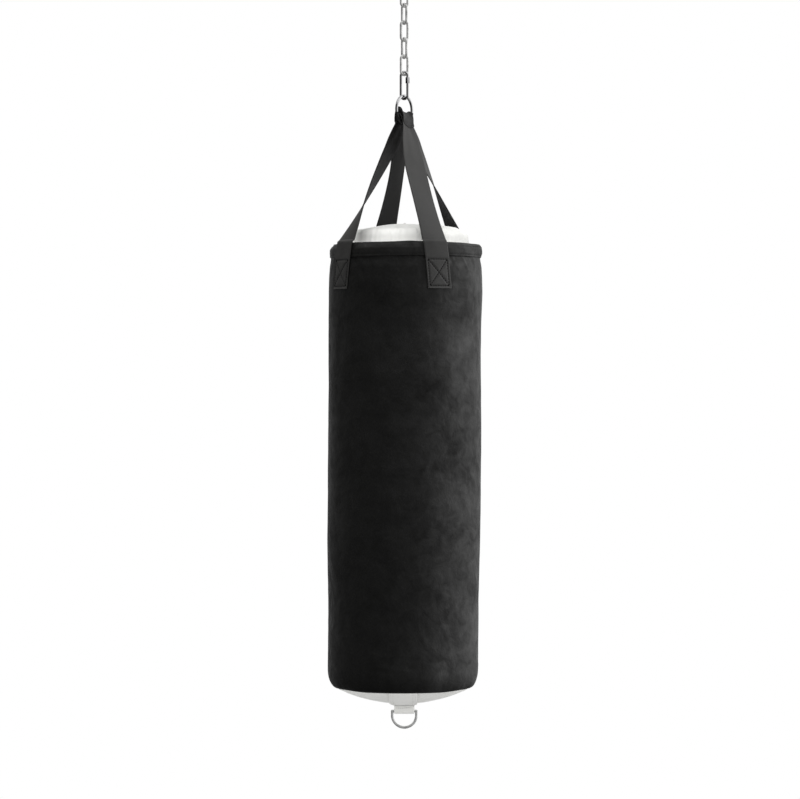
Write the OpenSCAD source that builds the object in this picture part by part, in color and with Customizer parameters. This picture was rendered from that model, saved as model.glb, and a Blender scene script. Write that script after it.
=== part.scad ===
// Heavy punching bag that hangs from the ceiling: a bolted plate with a swivel eye, a short chain,
// a quick link, a welded ring, two crossed webbing straps and a stuffed fabric bag with a lower D-ring.
// Millimetres, +Z up. The origin is the centre of the ceiling plate's top face; all the rest hangs below.

/* [Ceiling plate] */
// Side of the square plate
plate_w = 90; // [84:1:140]
// Thickness of the plate
plate_t = 5; // [3:0.5:8]
// Corner radius of the plate
plate_corner_r = 8; // [3:1:12]
// Distance from the plate's edge to the middle of each bolt hole
bolt_edge = 12.5; // [10:0.5:15]
// Radius of each bolt hole
bolt_hole_r = 4.5; // [2.5:0.1:6]

/* [Swivel] */
// Outer radius of the cup under the plate
cup_r = 22; // [19:0.5:26]
// Height of the cup
cup_h = 19; // [17:0.5:30]
// Thickness of the cup's wall and floor
cup_wall = 4; // [2.5:0.5:5]
// Radius of the swivel's stem
stem_r = 5; // [4:0.5:6]
// Width across the flats of the swivel's nut
nut_af = 17; // [15:0.5:20]
// Height of the swivel's nut
nut_h = 8; // [5:0.5:9]
// Outer radius of the thrust washer
washer_r = 11; // [9:0.5:13]
// Thickness of the thrust washer
washer_t = 2; // [1:0.5:3]
// Radius of the collar between the stem and the eye
collar_r = 8; // [7:0.5:10]
// Height of the collar above the eye
collar_h = 5; // [3:0.5:12]
// Radius of the eye, to the middle of its wire
eye_r = 13; // [12:0.5:18]
// Wire diameter of the eye
eye_wire = 8; // [6:0.5:9]

/* [Chain] */
// Wire diameter of a link
link_wire = 5; // [4:0.1:5.5]
// Inner length of a link
link_inner = 35; // [30:0.5:45]
// Outer width of a link
link_w = 21; // [20:0.5:26]
// Turn of the odd links about the chain's line
chain_yaw = 33; // [0:1:60]

/* [Quick link] */
// Wire diameter of the quick link
quick_wire = 5.5; // [4.5:0.1:5.8]
// Inner length of the quick link
quick_inner = 49; // [46:0.5:60]
// Outer width of the quick link
quick_w = 21.5; // [21:0.5:26]
// Length of the sleeve nut
sleeve_len = 12; // [11:0.5:15]
// Width across the flats of the sleeve nut
sleeve_af = 8.2; // [8:0.1:10.5]
// Mouth of the quick link that the sleeve nut closes
quick_mouth = 7; // [6:0.5:8]
// Height of the mouth's middle above the quick link's middle
mouth_up = 10; // [8:0.5:11]

/* [Hanging ring] */
// Outer diameter of the ring
ring_d = 63; // [58:0.5:80]
// Wire diameter of the ring
ring_wire = 6; // [5:0.5:7]
// Turn of the ring's plane about the vertical
ring_yaw = 57; // [40:1:70]

/* [Straps] */
// Width of the webbing
strap_w = 52; // [45:1:60]
// Thickness of the webbing
strap_t = 2.6; // [1.5:0.1:3.5]
// Width of the webbing where it is gathered in the ring
gathered_w = 44; // [30:1:46]
// Thickness of the gathered webbing beside the ring's wire
gathered_t = 3.6; // [2.5:0.1:4.5]
// Height of each gathered layer over the ring's wire
gathered_rise = 10.3; // [6:0.1:11]
// Drop of the straps from the ring to the bag's top edge
strap_drop = 238; // [200:1:320]
// Length of webbing sewn to the bag's side, below its top edge
strap_foot = 90; // [70:1:140]
// Direction of the front strap's foot, counted from the front towards +X
front_foot_az = 25.5; // [15:0.5:35]
// Direction of the right strap's foot
right_foot_az = 132; // [125:0.5:140]
// Direction of the back strap's foot
back_foot_az = 198; // [190:0.5:205]
// Direction of the left strap's foot
left_foot_az = 304; // [295:0.5:310]

/* [Bag] */
// Outer radius of the bag half way down
bag_r = 154.6; // [125:0.2:190]
// Height of the bag's fabric tube
bag_h = 901; // [700:1:1200]
// Thickness of the fabric
fabric_t = 2; // [1:0.1:3]
// How far the fabric pulls in below the top hem
neck_dip = 4; // [2:0.5:5]
// How far the bag's lower half narrows
foot_dip = 2.8; // [0:0.2:5]
// Height of the narrower foot above the bottom corner
foot_h = 140; // [80:1:200]
// Depth of the shoulder below the neck
shoulder_drop = 64; // [50:1:80]
// How far the shoulder stands out
shoulder_out = 0.8; // [0:0.1:2]
// Height of the rounded bottom corner
corner_h = 37; // [25:1:50]
// Width of the rounded bottom corner
corner_w = 18.8; // [12:0.2:25]
// Height of the folded tape round the top edge
hem_h = 30; // [20:1:45]
// Thickness of the folded tape
hem_t = 2; // [1:0.1:3]
// Width of the strip over the bag's upright seam
seam_w = 24; // [15:1:30]
// Thickness of the seam strip
seam_t = 1.2; // [0.8:0.1:2]
// Direction of the upright seam, counted from the front towards +X
seam_az = 165; // [160:0.5:168]

/* [Top panel] */
// Height of the puffed top above the bag's top edge
crown_h = 42.5; // [35:0.5:60]
// Radius of the puffed part
crown_r = 107; // [100:1:115]
// Radius of the sphere that the crown follows
crown_sphere_r = 330; // [280:5:500]
// Width of the crown's rounded shoulder
crown_corner_w = 15; // [10:0.5:20]
// Height of the crown's rounded shoulder
crown_corner_h = 20; // [10:0.5:24]
// Depth of the gutter between the crown and the top edge
gutter_depth = 18.5; // [15:0.5:25]

/* [Zip] */
// Length of the zip over the crown
zip_len = 130; // [100:1:140]
// Distance of the zip behind the middle
zip_back = 50; // [30:1:60]
// Width of the zip's tape
tape_w = 30; // [20:1:36]
// Thickness of the zip's tape
tape_t = 1; // [0.6:0.1:1.5]
// Width of the zip's coil
coil_w = 6; // [4:0.5:8]
// Height of the zip's coil above its tape
coil_h = 1.6; // [1:0.1:2.5]
// Length of the slider
slider_len = 15; // [12:0.5:20]
// Length of the slider's pull tab
pull_len = 24; // [18:1:30]

/* [Bottom] */
// Depth of the rounded bottom panel below the bag's lower edge
base_depth = 32; // [25:0.5:45]
// Width of the bottom panel's rounded edge
base_corner_w = 8; // [7:0.5:12]
// Height of the bottom panel's rounded edge
base_corner_h = 5; // [4:0.5:8]
// Width of the webbing band under the bottom panel
patch_w = 58; // [45:1:70]
// Width of the loop that holds the D-ring
loop_w = 41; // [30:1:42]
// Drop of the D-ring's bar below the patch
bar_drop = 12.8; // [11:0.1:20]
// Wire diameter of the D-ring
dee_wire = 5.5; // [4:0.1:6]
// Outer width of the D-ring
dee_w = 54.4; // [54:0.2:70]
// Height of the D-ring's short straight sides
dee_side = 8.7; // [7:0.1:20]

/* [Filling] */
// Thickness of the foam liner
liner_t = 9; // [6:0.5:20]
// Radius of each sand bag
sand_r = 42; // [25:1:60]
// Height of each sand bag
sand_h = 210; // [120:1:220]

/* [Hidden] */
// Gap between pieces that bear on each other, and the running fit of a shaft in its hole
seat_gap = 0.3;
running_fit = 0.08;
soft_gap = 0.3;
$fn = 64;

// Ceiling plate and swivel, from the top down
bolt_spacing = plate_w - 2 * bolt_edge;
cup_inner_r = cup_r - cup_wall;
plate_lip = 2;
cup_bottom_z = -plate_t - cup_h;
cup_floor_z = cup_bottom_z + cup_wall;
nut_z = cup_floor_z + washer_t + seat_gap;
stem_over = 1.5;
collar_top_z = cup_bottom_z - seat_gap;
eye_z = collar_top_z - collar_h - eye_wire / 2 - eye_r;

// Chain: height of the underside of each link's top wire, numbered from the top
LINKS = 5;
link_arc_r = (link_w - link_wire) / 2;
link_leg = link_inner - link_w + 2 * link_wire;
function link_seat_z(i) = eye_z - eye_r + eye_wire / 2 + seat_gap - (i - 1) * (link_inner - seat_gap);
function link_yaw(i) = chain_yaw - 90 * ((i - 1) % 2);

// Quick link: it hangs askew in the last link, so it has a wider gap there
skew_gap = 0.8;
quick_arc_r = (quick_w - quick_wire) / 2;
quick_leg = quick_inner - quick_w + 2 * quick_wire;
quick_seat_z = link_seat_z(LINKS) - link_inner + skew_gap;
quick_z = quick_seat_z - quick_inner / 2;
quick_yaw = ring_yaw - 90;
sleeve_fit = 0.06;

// Hanging ring
ring_r = (ring_d - ring_wire) / 2;
ring_seat_z = quick_seat_z - quick_inner + seat_gap;
ring_z = ring_seat_z + ring_wire / 2 - ring_r;
ring_low_z = ring_z - ring_r;

// Straps: the lower one lies on the ring's wire and the upper one lies over it
swing_room = 2.7;
crest_gap = 0.4;
lower_in = ring_wire / 2 + swing_room;
upper_in = lower_in + gathered_t + soft_gap;
crest_z = ring_low_z + ring_wire / 2 + crest_gap - lower_in;
crease_z = ring_low_z - ring_wire / 2 - 2;
trough_r = ring_r - ring_wire / 2 - 3 * crest_gap;
// Power by which each leg's twist comes late in its drop, and the share of the front leg's that comes early
right_late = 1.25;
left_late = 1.9;
back_late = 3.7;
front_late = 8;
front_early = 0.5;
early_by = 0.35;
// Share of each leg's drop after which it has its full width
spread_by = 0.15;
ACROSS = 6;
LEG_STEPS = 16;
CREST_STEPS = 14;

// Bag, from the top edge down
hem_top_z = crease_z - strap_drop;
hem_r = bag_r - 0.9;
neck_z = hem_top_z - hem_h - 3;
rim_z = hem_top_z - bag_h;
rim_r = bag_r - foot_dip - corner_w;
foot_r = hem_r + soft_gap + strap_t / 2;
bend_z = hem_top_z + 2;
crown_z = hem_top_z + crown_h;
gutter_z = hem_top_z - gutter_depth;
hem_in_r = hem_r - 2 * (hem_t + fabric_t) - 3 * soft_gap;
flange_r = hem_in_r + hem_t + soft_gap;
gutter_w = 7;
base_z = rim_z - base_depth;
lip_gap = 0.4;

// Zip: it runs along X on the crown's sphere, and its slider starts at the +X end
zip_sphere_z = crown_z - crown_sphere_r;
zip_plane_r = sqrt(pow(crown_sphere_r, 2) - pow(zip_back, 2));
zip_lean = asin(zip_back / crown_sphere_r);
slider_tilt = asin((zip_len - slider_len) / 2 / zip_plane_r);
slider_base = tape_t + seat_gap;
slider_top = slider_base + coil_h + 1.6;
slider_w = coil_w + 5;
ear_t = 1.6;
pull_t = 1.4;
pull_w = 5;
pull_pin_r = 1.1;
pull_eye_r = pull_pin_r + running_fit + 1;
pull_pin_z = slider_top + pull_eye_r + seat_gap;

// Bottom loop and D-ring
bar_z = base_z - strap_t - soft_gap - bar_drop;
dee_arc_r = (dee_w - dee_wire) / 2;
loop_in_r = dee_wire / 2 + 0.4;
flap_len = 16;

// Filling: a foam liner inside the shell, and sand bags on the axis of the textile core
liner_gap = 0.5;
core_r = bag_r - neck_dip - fabric_t - liner_gap - liner_t - soft_gap;
sand_top = 70;
sand_pitch = (bag_h - 100) / 3;
function sand_z(i) = hem_top_z - sand_top - sand_pitch * (i + 0.5);

function reversed(list) = [for (i = [len(list) - 1:-1:0]) list[i]];
function smooth(x) = let (t = min(1, max(0, x))) t * t * (3 - 2 * t);
function heading(a) = [cos(a), sin(a), 0];
function front_angle(az) = az - 90;

// Points of an ellipse's arc in the radius and height plane
function arc_points(c, a, b, from, to, steps) =
    [for (i = [0:steps]) let (t = from + (to - from) * i / steps) [c[0] + a * cos(t), c[1] + b * sin(t)]];

// A path moved sideways by d, to the right of its direction
function side_step(p, q) = let (v = q - p) [v[1], -v[0]] / norm(v);
function offset_path(path, d) =
    [for (i = [0:len(path) - 1])
        let (last = len(path) - 1,
             before = side_step(path[max(i - 1, 0)], path[max(i, 1)]),
             after = side_step(path[min(i, last - 1)], path[min(i + 1, last)]),
             mid = before + after,
             moved = path[i] + d * 2 * mid / (mid * mid))
        [max(0, moved[0]), moved[1]]];
module revolved_wall(path, d, angle = 360) {
    rotate_extrude(angle = angle, $fn = 180) polygon(concat(path, reversed(offset_path(path, d))));
}

// A wire loop of two half rings and two legs, upright in the XZ plane, round its own middle
module wire_link(arc_r, leg, wire) {
    for (turn = [0, 180])
        rotate([0, turn, 0]) {
            translate([0, 0, leg / 2]) rotate([90, 0, 0]) wire_arc(arc_r, wire, 180);
            translate([arc_r, 0, -leg / 2]) cylinder(d = wire, h = leg);
        }
}
module wire_arc(arc_r, wire, angle) {
    rotate_extrude(angle = angle) translate([arc_r, 0]) circle(d = wire);
}
module hex_prism(af, h) {
    cylinder(r = af / 2 / cos(30), h = h, $fn = 6);
}

// ---- Ceiling plate and swivel ----
module ceiling_plate() {
    inset = plate_w / 2 - plate_corner_r;
    color("gainsboro") translate([0, 0, -plate_t]) linear_extrude(plate_t) difference() {
        union() {
            square([plate_w, 2 * inset], center = true);
            square([2 * inset, plate_w], center = true);
            for (x = [-inset, inset], y = [-inset, inset]) translate([x, y]) circle(r = plate_corner_r);
        }
        for (x = [-1, 1], y = [-1, 1]) translate([x, y] * bolt_spacing / 2) circle(r = bolt_hole_r);
        circle(r = cup_inner_r - plate_lip);
    }
}

module swivel_housing() {
    weld = 3;
    color("gainsboro") difference() {
        union() {
            translate([0, 0, cup_bottom_z]) cylinder(r = cup_r, h = cup_h);
            translate([0, 0, -plate_t - weld]) cylinder(r1 = cup_r, r2 = cup_r + weld, h = weld);
        }
        translate([0, 0, cup_floor_z]) cylinder(r = cup_inner_r, h = cup_h);
        translate([0, 0, cup_bottom_z - 1]) cylinder(r = stem_r + running_fit, h = cup_wall + 2);
    }
}

module swivel_eye() {
    color("silver") {
        translate([0, 0, collar_top_z]) cylinder(r = stem_r, h = nut_z + nut_h + stem_over - collar_top_z);
        translate([0, 0, eye_z + eye_r]) cylinder(r = collar_r, h = collar_top_z - eye_z - eye_r);
        translate([0, 0, eye_z]) rotate([90, 0, chain_yaw - 90]) wire_arc(eye_r, eye_wire, 360);
    }
}

module swivel_washer() {
    color("silver") translate([0, 0, cup_floor_z]) difference() {
        cylinder(r = washer_r, h = washer_t);
        translate([0, 0, -1]) cylinder(r = stem_r + seat_gap, h = washer_t + 2);
    }
}

module swivel_nut() {
    color("silver") translate([0, 0, nut_z]) difference() {
        hex_prism(nut_af, nut_h);
        translate([0, 0, -1]) cylinder(r = stem_r + running_fit, h = nut_h + 2);
    }
}

// ---- Chain, quick link and ring ----
module chain_link(i) {
    color("silver") translate([0, 0, link_seat_z(i) - link_inner / 2]) rotate([0, 0, link_yaw(i)])
        wire_link(link_arc_r, link_leg, link_wire);
}

module quick_link() {
    color("silver") translate([0, 0, quick_z]) rotate([0, 0, quick_yaw]) difference() {
        wire_link(quick_arc_r, quick_leg, quick_wire);
        translate([quick_arc_r - quick_wire, -quick_wire, mouth_up - quick_mouth / 2])
            cube([2 * quick_wire, 2 * quick_wire, quick_mouth]);
    }
}

module quick_link_nut() {
    color("silver") translate([0, 0, quick_z]) rotate([0, 0, quick_yaw])
        translate([quick_arc_r, 0, mouth_up - sleeve_len / 2]) difference() {
            hex_prism(sleeve_af, sleeve_len);
            translate([0, 0, -1]) cylinder(r = quick_wire / 2 + sleeve_fit, h = sleeve_len + 2);
        }
}

module hanging_ring() {
    color("silver") translate([0, 0, ring_z]) rotate([90, 0, ring_yaw]) wire_arc(ring_r, ring_wire, 360);
}

// ---- Straps ----
// Each strap is one length of webbing: foot, leg, over the ring's wire, leg, foot. Beside the ring its
// width lies along the ring's plane, and each leg twists until it lies flat on the bag.
ring_along = heading(ring_yaw);
ring_out = heading(ring_yaw - 90);

// side is 1 where the leg leaves on the ring's outward side, -1 on the other; face is 1 outside, -1 inside
function trough(w) = trough_r - sqrt(trough_r * trough_r - w * w);
function crest_point(w, turn, a, b) =
    a * cos(turn) * ring_out + w * ring_along + [0, 0, crest_z + b * sin(turn) + trough(w)];

// late is the power of the leg's twist, and early the share of it that comes soon below the ring
function leg_point(share, face, q, side, az, a_in, late, early) =
    let (middle = a_in + gathered_t / 2,
         top = side * middle * ring_out + [0, 0, crease_z],
         end = foot_r * heading(front_angle(az)) + [0, 0, bend_z],
         yaw_end = front_angle(az) + 90 * side,
         twisted = early * smooth(q / early_by) + (1 - early) * pow(q, late),
         yaw = ring_yaw + (yaw_end - ring_yaw) * twisted,
         width = gathered_w + (strap_w - gathered_w) * smooth(q / spread_by),
         thick = gathered_t + (strap_t - gathered_t) * smooth(q / spread_by),
         hug = smooth(q * 2 - 0.9),
         w = share * width,
         around = w / foot_r * 180 / PI,
         along = w + hug * (foot_r * sin(around) - w),
         inward = hug * foot_r * (1 - cos(around)),
         lift = trough(share * gathered_w) * (1 - smooth(q / 0.2)))
    top + (end - top) * q + along * heading(yaw)
        + side * (face * thick / 2 - inward) * heading(yaw - 90) + [0, 0, lift];

function foot_point(share, face, q, side, az) =
    let (around = front_angle(az) + side * share * strap_w / foot_r * 180 / PI,
         r = foot_r + q * (bag_r + shoulder_out - hem_r) + face * strap_t / 2)
    r * heading(around) + [0, 0, bend_z + (hem_top_z - strap_foot - bend_z) * q];

function shares(face) = [for (i = [0:ACROSS]) face < 0 ? i / ACROSS - 0.5 : 0.5 - i / ACROSS];
function leg_rings(side, az, a_in, late, early) = concat(
    [for (q = [1, 0.5]) [for (face = [-1, 1], s = shares(face)) foot_point(s, face, q, side, az)]],
    [for (i = [LEG_STEPS:-1:0])
        [for (face = [-1, 1], s = shares(face))
            leg_point(s, face, i / LEG_STEPS, side, az, a_in, late, early)]]);
function crest_rings(a_in, b_in) =
    [for (i = [0:CREST_STEPS])
        [for (face = [-1, 1], s = shares(face))
            crest_point(s * gathered_w, 180 * i / CREST_STEPS,
                        face < 0 ? a_in : a_in + gathered_t, face < 0 ? b_in : b_in + gathered_rise)]];

module swept(rings) {
    m = len(rings[0]);
    last = len(rings) - 1;
    polyhedron(
        points = [for (r = rings) each r],
        faces = concat(
            [for (k = [0:last - 1], j = [0:m - 1]) let (a = k * m + j, b = k * m + (j + 1) % m)
                each [[a, b, b + m], [a, b + m, a + m]]],
            [for (j = [0:m / 2 - 2]) each [[j, m - 1 - j, m - 2 - j], [j, m - 2 - j, j + 1]]],
            [for (j = [0:m / 2 - 2]) let (o = last * m)
                each [[o + j, o + m - 2 - j, o + m - 1 - j], [o + j, o + j + 1, o + m - 2 - j]]]));
}

module strap(out_az, back_az, a_in, b_in, out_late, back_late, out_early) {
    swept(concat(
        leg_rings(1, out_az, a_in, out_late, out_early),
        crest_rings(a_in, b_in),
        reversed(leg_rings(-1, back_az, a_in, back_late, 0))));
}

module strap_front_to_back() {
    crest_in = lower_in + gathered_rise + soft_gap;
    color("dimgray")
        strap(front_foot_az, back_foot_az, upper_in, crest_in, front_late, back_late, front_early);
}

module strap_side_to_side() {
    color("dimgray") strap(right_foot_az, left_foot_az, lower_in, lower_in, right_late, left_late, 0);
}

// ---- Bag ----
// The shell's outer face: upright sewn edge, neck under the hem, shoulder, waist, belly and narrower foot
function shell_path() = concat(
    [[hem_r - hem_t - soft_gap, hem_top_z - hem_t - soft_gap],
     [hem_r - hem_t - soft_gap, gutter_z - fabric_t - soft_gap],
     [bag_r - neck_dip, neck_z],
     [bag_r - neck_dip / 4, neck_z - 0.4 * shoulder_drop],
     [bag_r + shoulder_out, neck_z - shoulder_drop],
     [bag_r - shoulder_out, neck_z - 2.3 * shoulder_drop],
     [bag_r, (neck_z + rim_z) / 2],
     [bag_r - foot_dip, rim_z + corner_h + foot_h]],
    arc_points([rim_r, rim_z + corner_h], corner_w, corner_h, 0, -90, 10));

module shell() {
    color("#2b2b2a") revolved_wall(shell_path(), fabric_t);
}

module top_hem() {
    slot_w = hem_r - hem_in_r - 2 * hem_t;
    color("#333332") rotate_extrude($fn = 180) difference() {
        translate([hem_in_r, hem_top_z - hem_h]) square([hem_r - hem_in_r, hem_h]);
        translate([hem_in_r + hem_t, hem_top_z - hem_h - 1]) square([slot_w, hem_h + 1 - hem_t]);
        translate([hem_in_r - 1, hem_top_z - hem_h - 1])
            square([hem_t + 2, hem_h + 1 + soft_gap - gutter_depth]);
    }
}

module seam_strip() {
    half = seam_w / 2 / bag_r * 180 / PI;
    path = [for (p = shell_path()) if (p[1] < neck_z - 1 && p[1] > rim_z + corner_h / 4) p];
    color("#242423") rotate([0, 0, front_angle(seam_az) - half])
        revolved_wall(offset_path(path, -seam_t - soft_gap / 2), seam_t, 2 * half);
}

// The panel's upper face: the crown's sphere, its rounded shoulder, the gutter and the sewn edge
function crown_height(r) = crown_z - crown_sphere_r + sqrt(pow(crown_sphere_r, 2) - r * r);
function crown_path() =
    let (cap_r = crown_r - crown_corner_w,
         side_z = crown_height(cap_r) - crown_corner_h,
         gutter_r = flange_r - gutter_w)
    concat([for (i = [0:6]) [cap_r * i / 6, crown_height(cap_r * i / 6)]],
           arc_points([cap_r, side_z], crown_corner_w, crown_corner_h, 65, 0, 5),
           arc_points([gutter_r, side_z], gutter_r - crown_r, side_z - gutter_z, 195, 270, 5),
           [[flange_r, gutter_z], [flange_r, hem_top_z - 4]]);

module top_panel() {
    color("#f2f2f0") revolved_wall(crown_path(), fabric_t);
}

// A band that lies on the crown's sphere between two heights above it, along the zip
module zip_band(low, high, width, length) {
    color("#1d1d1d") intersection() {
        translate([0, 0, zip_sphere_z]) difference() {
            sphere(r = crown_sphere_r + high, $fn = 120);
            sphere(r = crown_sphere_r + low, $fn = 120);
        }
        translate([-length / 2, zip_back - width / 2, crown_z - 40]) cube([length, width, 60]);
    }
}
module zip_tape() {
    zip_band(0, tape_t, tape_w, zip_len);
}
module zip_coil() {
    zip_band(tape_t, tape_t + coil_h, coil_w, zip_len - 4);
}

// The slider straddles the coil; it is drawn at the top of the crown and turned down to its end
module at_slider() {
    translate([0, zip_back, zip_sphere_z]) rotate([0, slider_tilt, 0]) translate([0, 0, zip_plane_r])
        rotate([-zip_lean, 0, 0]) children();
}

module zip_slider() {
    groove_w = coil_w + 2 * (soft_gap + seat_gap);
    groove_top = slider_base + coil_h + soft_gap;
    ear_y = pull_w / 2 + seat_gap;
    color("#8c8c8a") at_slider() {
        difference() {
            translate([-slider_len / 2, -slider_w / 2, slider_base])
                cube([slider_len, slider_w, slider_top - slider_base]);
            translate([-slider_len, -groove_w / 2, 0]) cube([2 * slider_len, groove_w, groove_top]);
        }
        for (side = [-1, 1])
            translate([-pull_eye_r, side * (ear_y + ear_t / 2) - ear_t / 2, slider_top])
                cube([2 * pull_eye_r, ear_t, pull_pin_z + pull_pin_r + 0.6 - slider_top]);
        translate([0, 0, pull_pin_z]) rotate([90, 0, 0])
            cylinder(r = pull_pin_r, h = 2 * ear_y, center = true);
    }
}

module zip_pull() {
    hole_r = pull_pin_r + running_fit;
    color("#8c8c8a") at_slider() translate([0, 0, pull_pin_z]) difference() {
        union() {
            rotate([90, 0, 0]) cylinder(r = pull_eye_r, h = pull_w, center = true);
            translate([0, -pull_w / 2, -pull_t / 2]) cube([pull_len, pull_w, pull_t]);
        }
        rotate([90, 0, 0]) cylinder(r = hole_r, h = 2 * pull_w, center = true);
        translate([pull_len - 4, 0, -pull_t]) cylinder(r = 1.4, h = 2 * pull_t);
    }
}

// ---- Bottom ----
function base_path() =
    let (r0 = rim_r - fabric_t - lip_gap, cap_r = r0 - base_corner_w,
         sag = base_depth - base_corner_h, sphere_r = (cap_r * cap_r + sag * sag) / (2 * sag))
    concat([[r0, rim_z + 9]],
           arc_points([cap_r, rim_z], base_corner_w, base_corner_h, 0, -60, 4),
           [for (i = [7:-1:0]) let (r = cap_r * i / 8)
               [r, base_z + sphere_r - sqrt(sphere_r * sphere_r - r * r)]]);

module bottom_panel() {
    color("#efefec") revolved_wall(base_path(), fabric_t);
}

// A band that runs under the bottom panel from one side of the shell's edge to the other
module bottom_patch() {
    low = offset_path(base_path(), -strap_t - soft_gap);
    high = offset_path(base_path(), -soft_gap);
    under = base_z - 2 * strap_t;
    color("#efefec") intersection() {
        rotate_extrude($fn = 180) polygon(concat(low, reversed(high)));
        translate([-patch_w / 2, -bag_r, under]) cube([patch_w, 2 * bag_r, rim_z - soft_gap - under]);
    }
}

module bottom_loop() {
    outer_r = loop_in_r + strap_t;
    top = base_z - strap_t - 2 * soft_gap;
    color("#efefec") translate([-loop_w / 2, 0, 0]) rotate([90, 0, 90]) linear_extrude(loop_w) {
        translate([0, bar_z]) difference() {
            circle(r = outer_r);
            circle(r = loop_in_r);
            translate([-2 * outer_r, 0]) square(4 * outer_r);
        }
        for (side = [-1, 1]) {
            translate([side > 0 ? loop_in_r : -outer_r, bar_z]) square([strap_t, top - bar_z]);
            translate([side > 0 ? loop_in_r : -loop_in_r - flap_len, top - strap_t])
                square([flap_len, strap_t]);
        }
    }
}

module bottom_d_ring() {
    color("silver") translate([0, 0, bar_z]) {
        translate([-dee_arc_r, 0, 0]) rotate([0, 90, 0]) cylinder(d = dee_wire, h = 2 * dee_arc_r);
        for (side = [-1, 1]) {
            translate([side * dee_arc_r, 0, -dee_side]) cylinder(d = dee_wire, h = dee_side);
            translate([side * dee_arc_r, 0, 0]) sphere(d = dee_wire);
        }
        translate([0, 0, -dee_side]) rotate([-90, 0, 0]) wire_arc(dee_arc_r, dee_wire, 180);
    }
}

// ---- Filling ----
module foam_liner() {
    path = [for (p = offset_path(shell_path(), fabric_t + liner_gap))
                if (p[1] < neck_z + 5 && p[1] > rim_z + corner_h - 1) p];
    last = path[len(path) - 1];
    color("#9a9a92") rotate_extrude($fn = 180) polygon(concat(path, [[core_r + soft_gap, last[1]],
                                                                 [core_r + soft_gap, path[0][1]]]));
}

module fill_core() {
    under_crown = [for (p = offset_path(crown_path(), fabric_t + soft_gap)) if (p[0] < core_r) p];
    over_base = [for (p = offset_path(base_path(), fabric_t + soft_gap)) if (p[1] < rim_z + corner_h) p];
    color("#b5b0a4") difference() {
        rotate_extrude($fn = 180) polygon(concat(
            [[0, under_crown[0][1]]], under_crown,
            [[core_r, gutter_z - fabric_t - 1], [core_r, rim_z + corner_h]],
            over_base, [[0, over_base[len(over_base) - 1][1]]]));
        for (i = [0:2]) translate([0, 0, sand_z(i)])
            cylinder(r = sand_r + soft_gap, h = sand_h + 2 * soft_gap, center = true);
    }
}

module sand_bag(i) {
    color("#c9b68c") translate([0, 0, sand_z(i)]) cylinder(r = sand_r, h = sand_h, center = true);
}

ceiling_plate();
swivel_housing();
swivel_eye();
swivel_washer();
swivel_nut();
chain_link(1);  // chain_link_1
chain_link(2);  // chain_link_2
chain_link(3);  // chain_link_3
chain_link(4);  // chain_link_4
chain_link(5);  // chain_link_5
quick_link();
quick_link_nut();
hanging_ring();
strap_front_to_back();
strap_side_to_side();
shell();
top_hem();
seam_strip();
top_panel();
zip_tape();
zip_coil();
zip_slider();
zip_pull();
bottom_panel();
bottom_patch();
bottom_loop();
bottom_d_ring();
foam_liner();
fill_core();
sand_bag(0);  // sand_bag_upper
sand_bag(1);  // sand_bag_middle
sand_bag(2);  // sand_bag_lower
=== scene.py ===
"""Looks of the hanging punching bag: fabric, webbing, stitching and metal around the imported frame.
Lengths are metres, +Z up, with the origin at the ceiling plate's top face. MM turns millimetres into metres."""
import math

import bpy
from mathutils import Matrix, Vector, noise


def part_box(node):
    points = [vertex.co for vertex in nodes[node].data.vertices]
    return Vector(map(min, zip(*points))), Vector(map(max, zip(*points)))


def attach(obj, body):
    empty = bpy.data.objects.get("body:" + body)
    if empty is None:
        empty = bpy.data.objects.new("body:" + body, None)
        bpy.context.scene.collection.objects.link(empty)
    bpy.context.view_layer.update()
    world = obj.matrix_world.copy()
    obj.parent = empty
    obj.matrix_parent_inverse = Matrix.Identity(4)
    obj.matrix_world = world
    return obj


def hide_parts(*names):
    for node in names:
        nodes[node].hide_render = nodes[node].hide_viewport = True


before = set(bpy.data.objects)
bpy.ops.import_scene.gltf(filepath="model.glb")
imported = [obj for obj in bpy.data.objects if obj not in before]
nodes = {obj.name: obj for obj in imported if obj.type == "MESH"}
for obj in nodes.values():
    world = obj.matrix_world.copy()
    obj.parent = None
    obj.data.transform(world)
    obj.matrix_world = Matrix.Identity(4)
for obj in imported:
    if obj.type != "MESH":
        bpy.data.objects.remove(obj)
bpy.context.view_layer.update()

MM = 0.001
TAU = 2 * math.pi
ACROSS = Vector((1, 0, 0))

# ---- Sizes read from the frame ----
hem_lo, hem_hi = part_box("top_hem")
ring_lo, ring_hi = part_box("hanging_ring")
core_lo, core_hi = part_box("fill_core")
base_lo, base_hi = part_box("bottom_panel")
bar_lo, bar_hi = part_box("bottom_d_ring")
HEM_TOP, HEM_BOTTOM = hem_hi.z, hem_lo.z
HEM_R = (hem_hi.x - hem_lo.x) / 2
RIM_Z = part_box("shell")[0].z
NECK_Z = HEM_BOTTOM - 3 * MM
CORE_R = (core_hi.x - core_lo.x) / 2
RING_WIRE = 6 * MM
RING_LOW = ring_lo.z + RING_WIRE / 2
RING_R = (ring_hi.z - ring_lo.z - RING_WIRE) / 2
RING_YAW = math.radians(57)


# ---- Small helpers ----
def clamp(x):
    return min(1.0, max(0.0, x))


def smooth(x):
    t = clamp(x)
    return t * t * (3 - 2 * t)


def mix(a, b, t):
    return a + (b - a) * t


def rises(x, start, over):
    """0 up to start millimetres, and 1 from a stretch of over millimetres past it."""
    return smooth((x - start * MM) / (over * MM))


def falls(x, end, over):
    """1, and 0 from end millimetres on, with over millimetres between the two."""
    return smooth((end * MM - x) / (over * MM))


def bell(x, width):
    """1 where x is 0, and 1/e at width on either side."""
    return math.exp(-(x / width) ** 2)


def spaced(a, b, count):
    return [a + (b - a) * i / (count - 1) for i in range(count)]


def by_detail(full):
    return full


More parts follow.
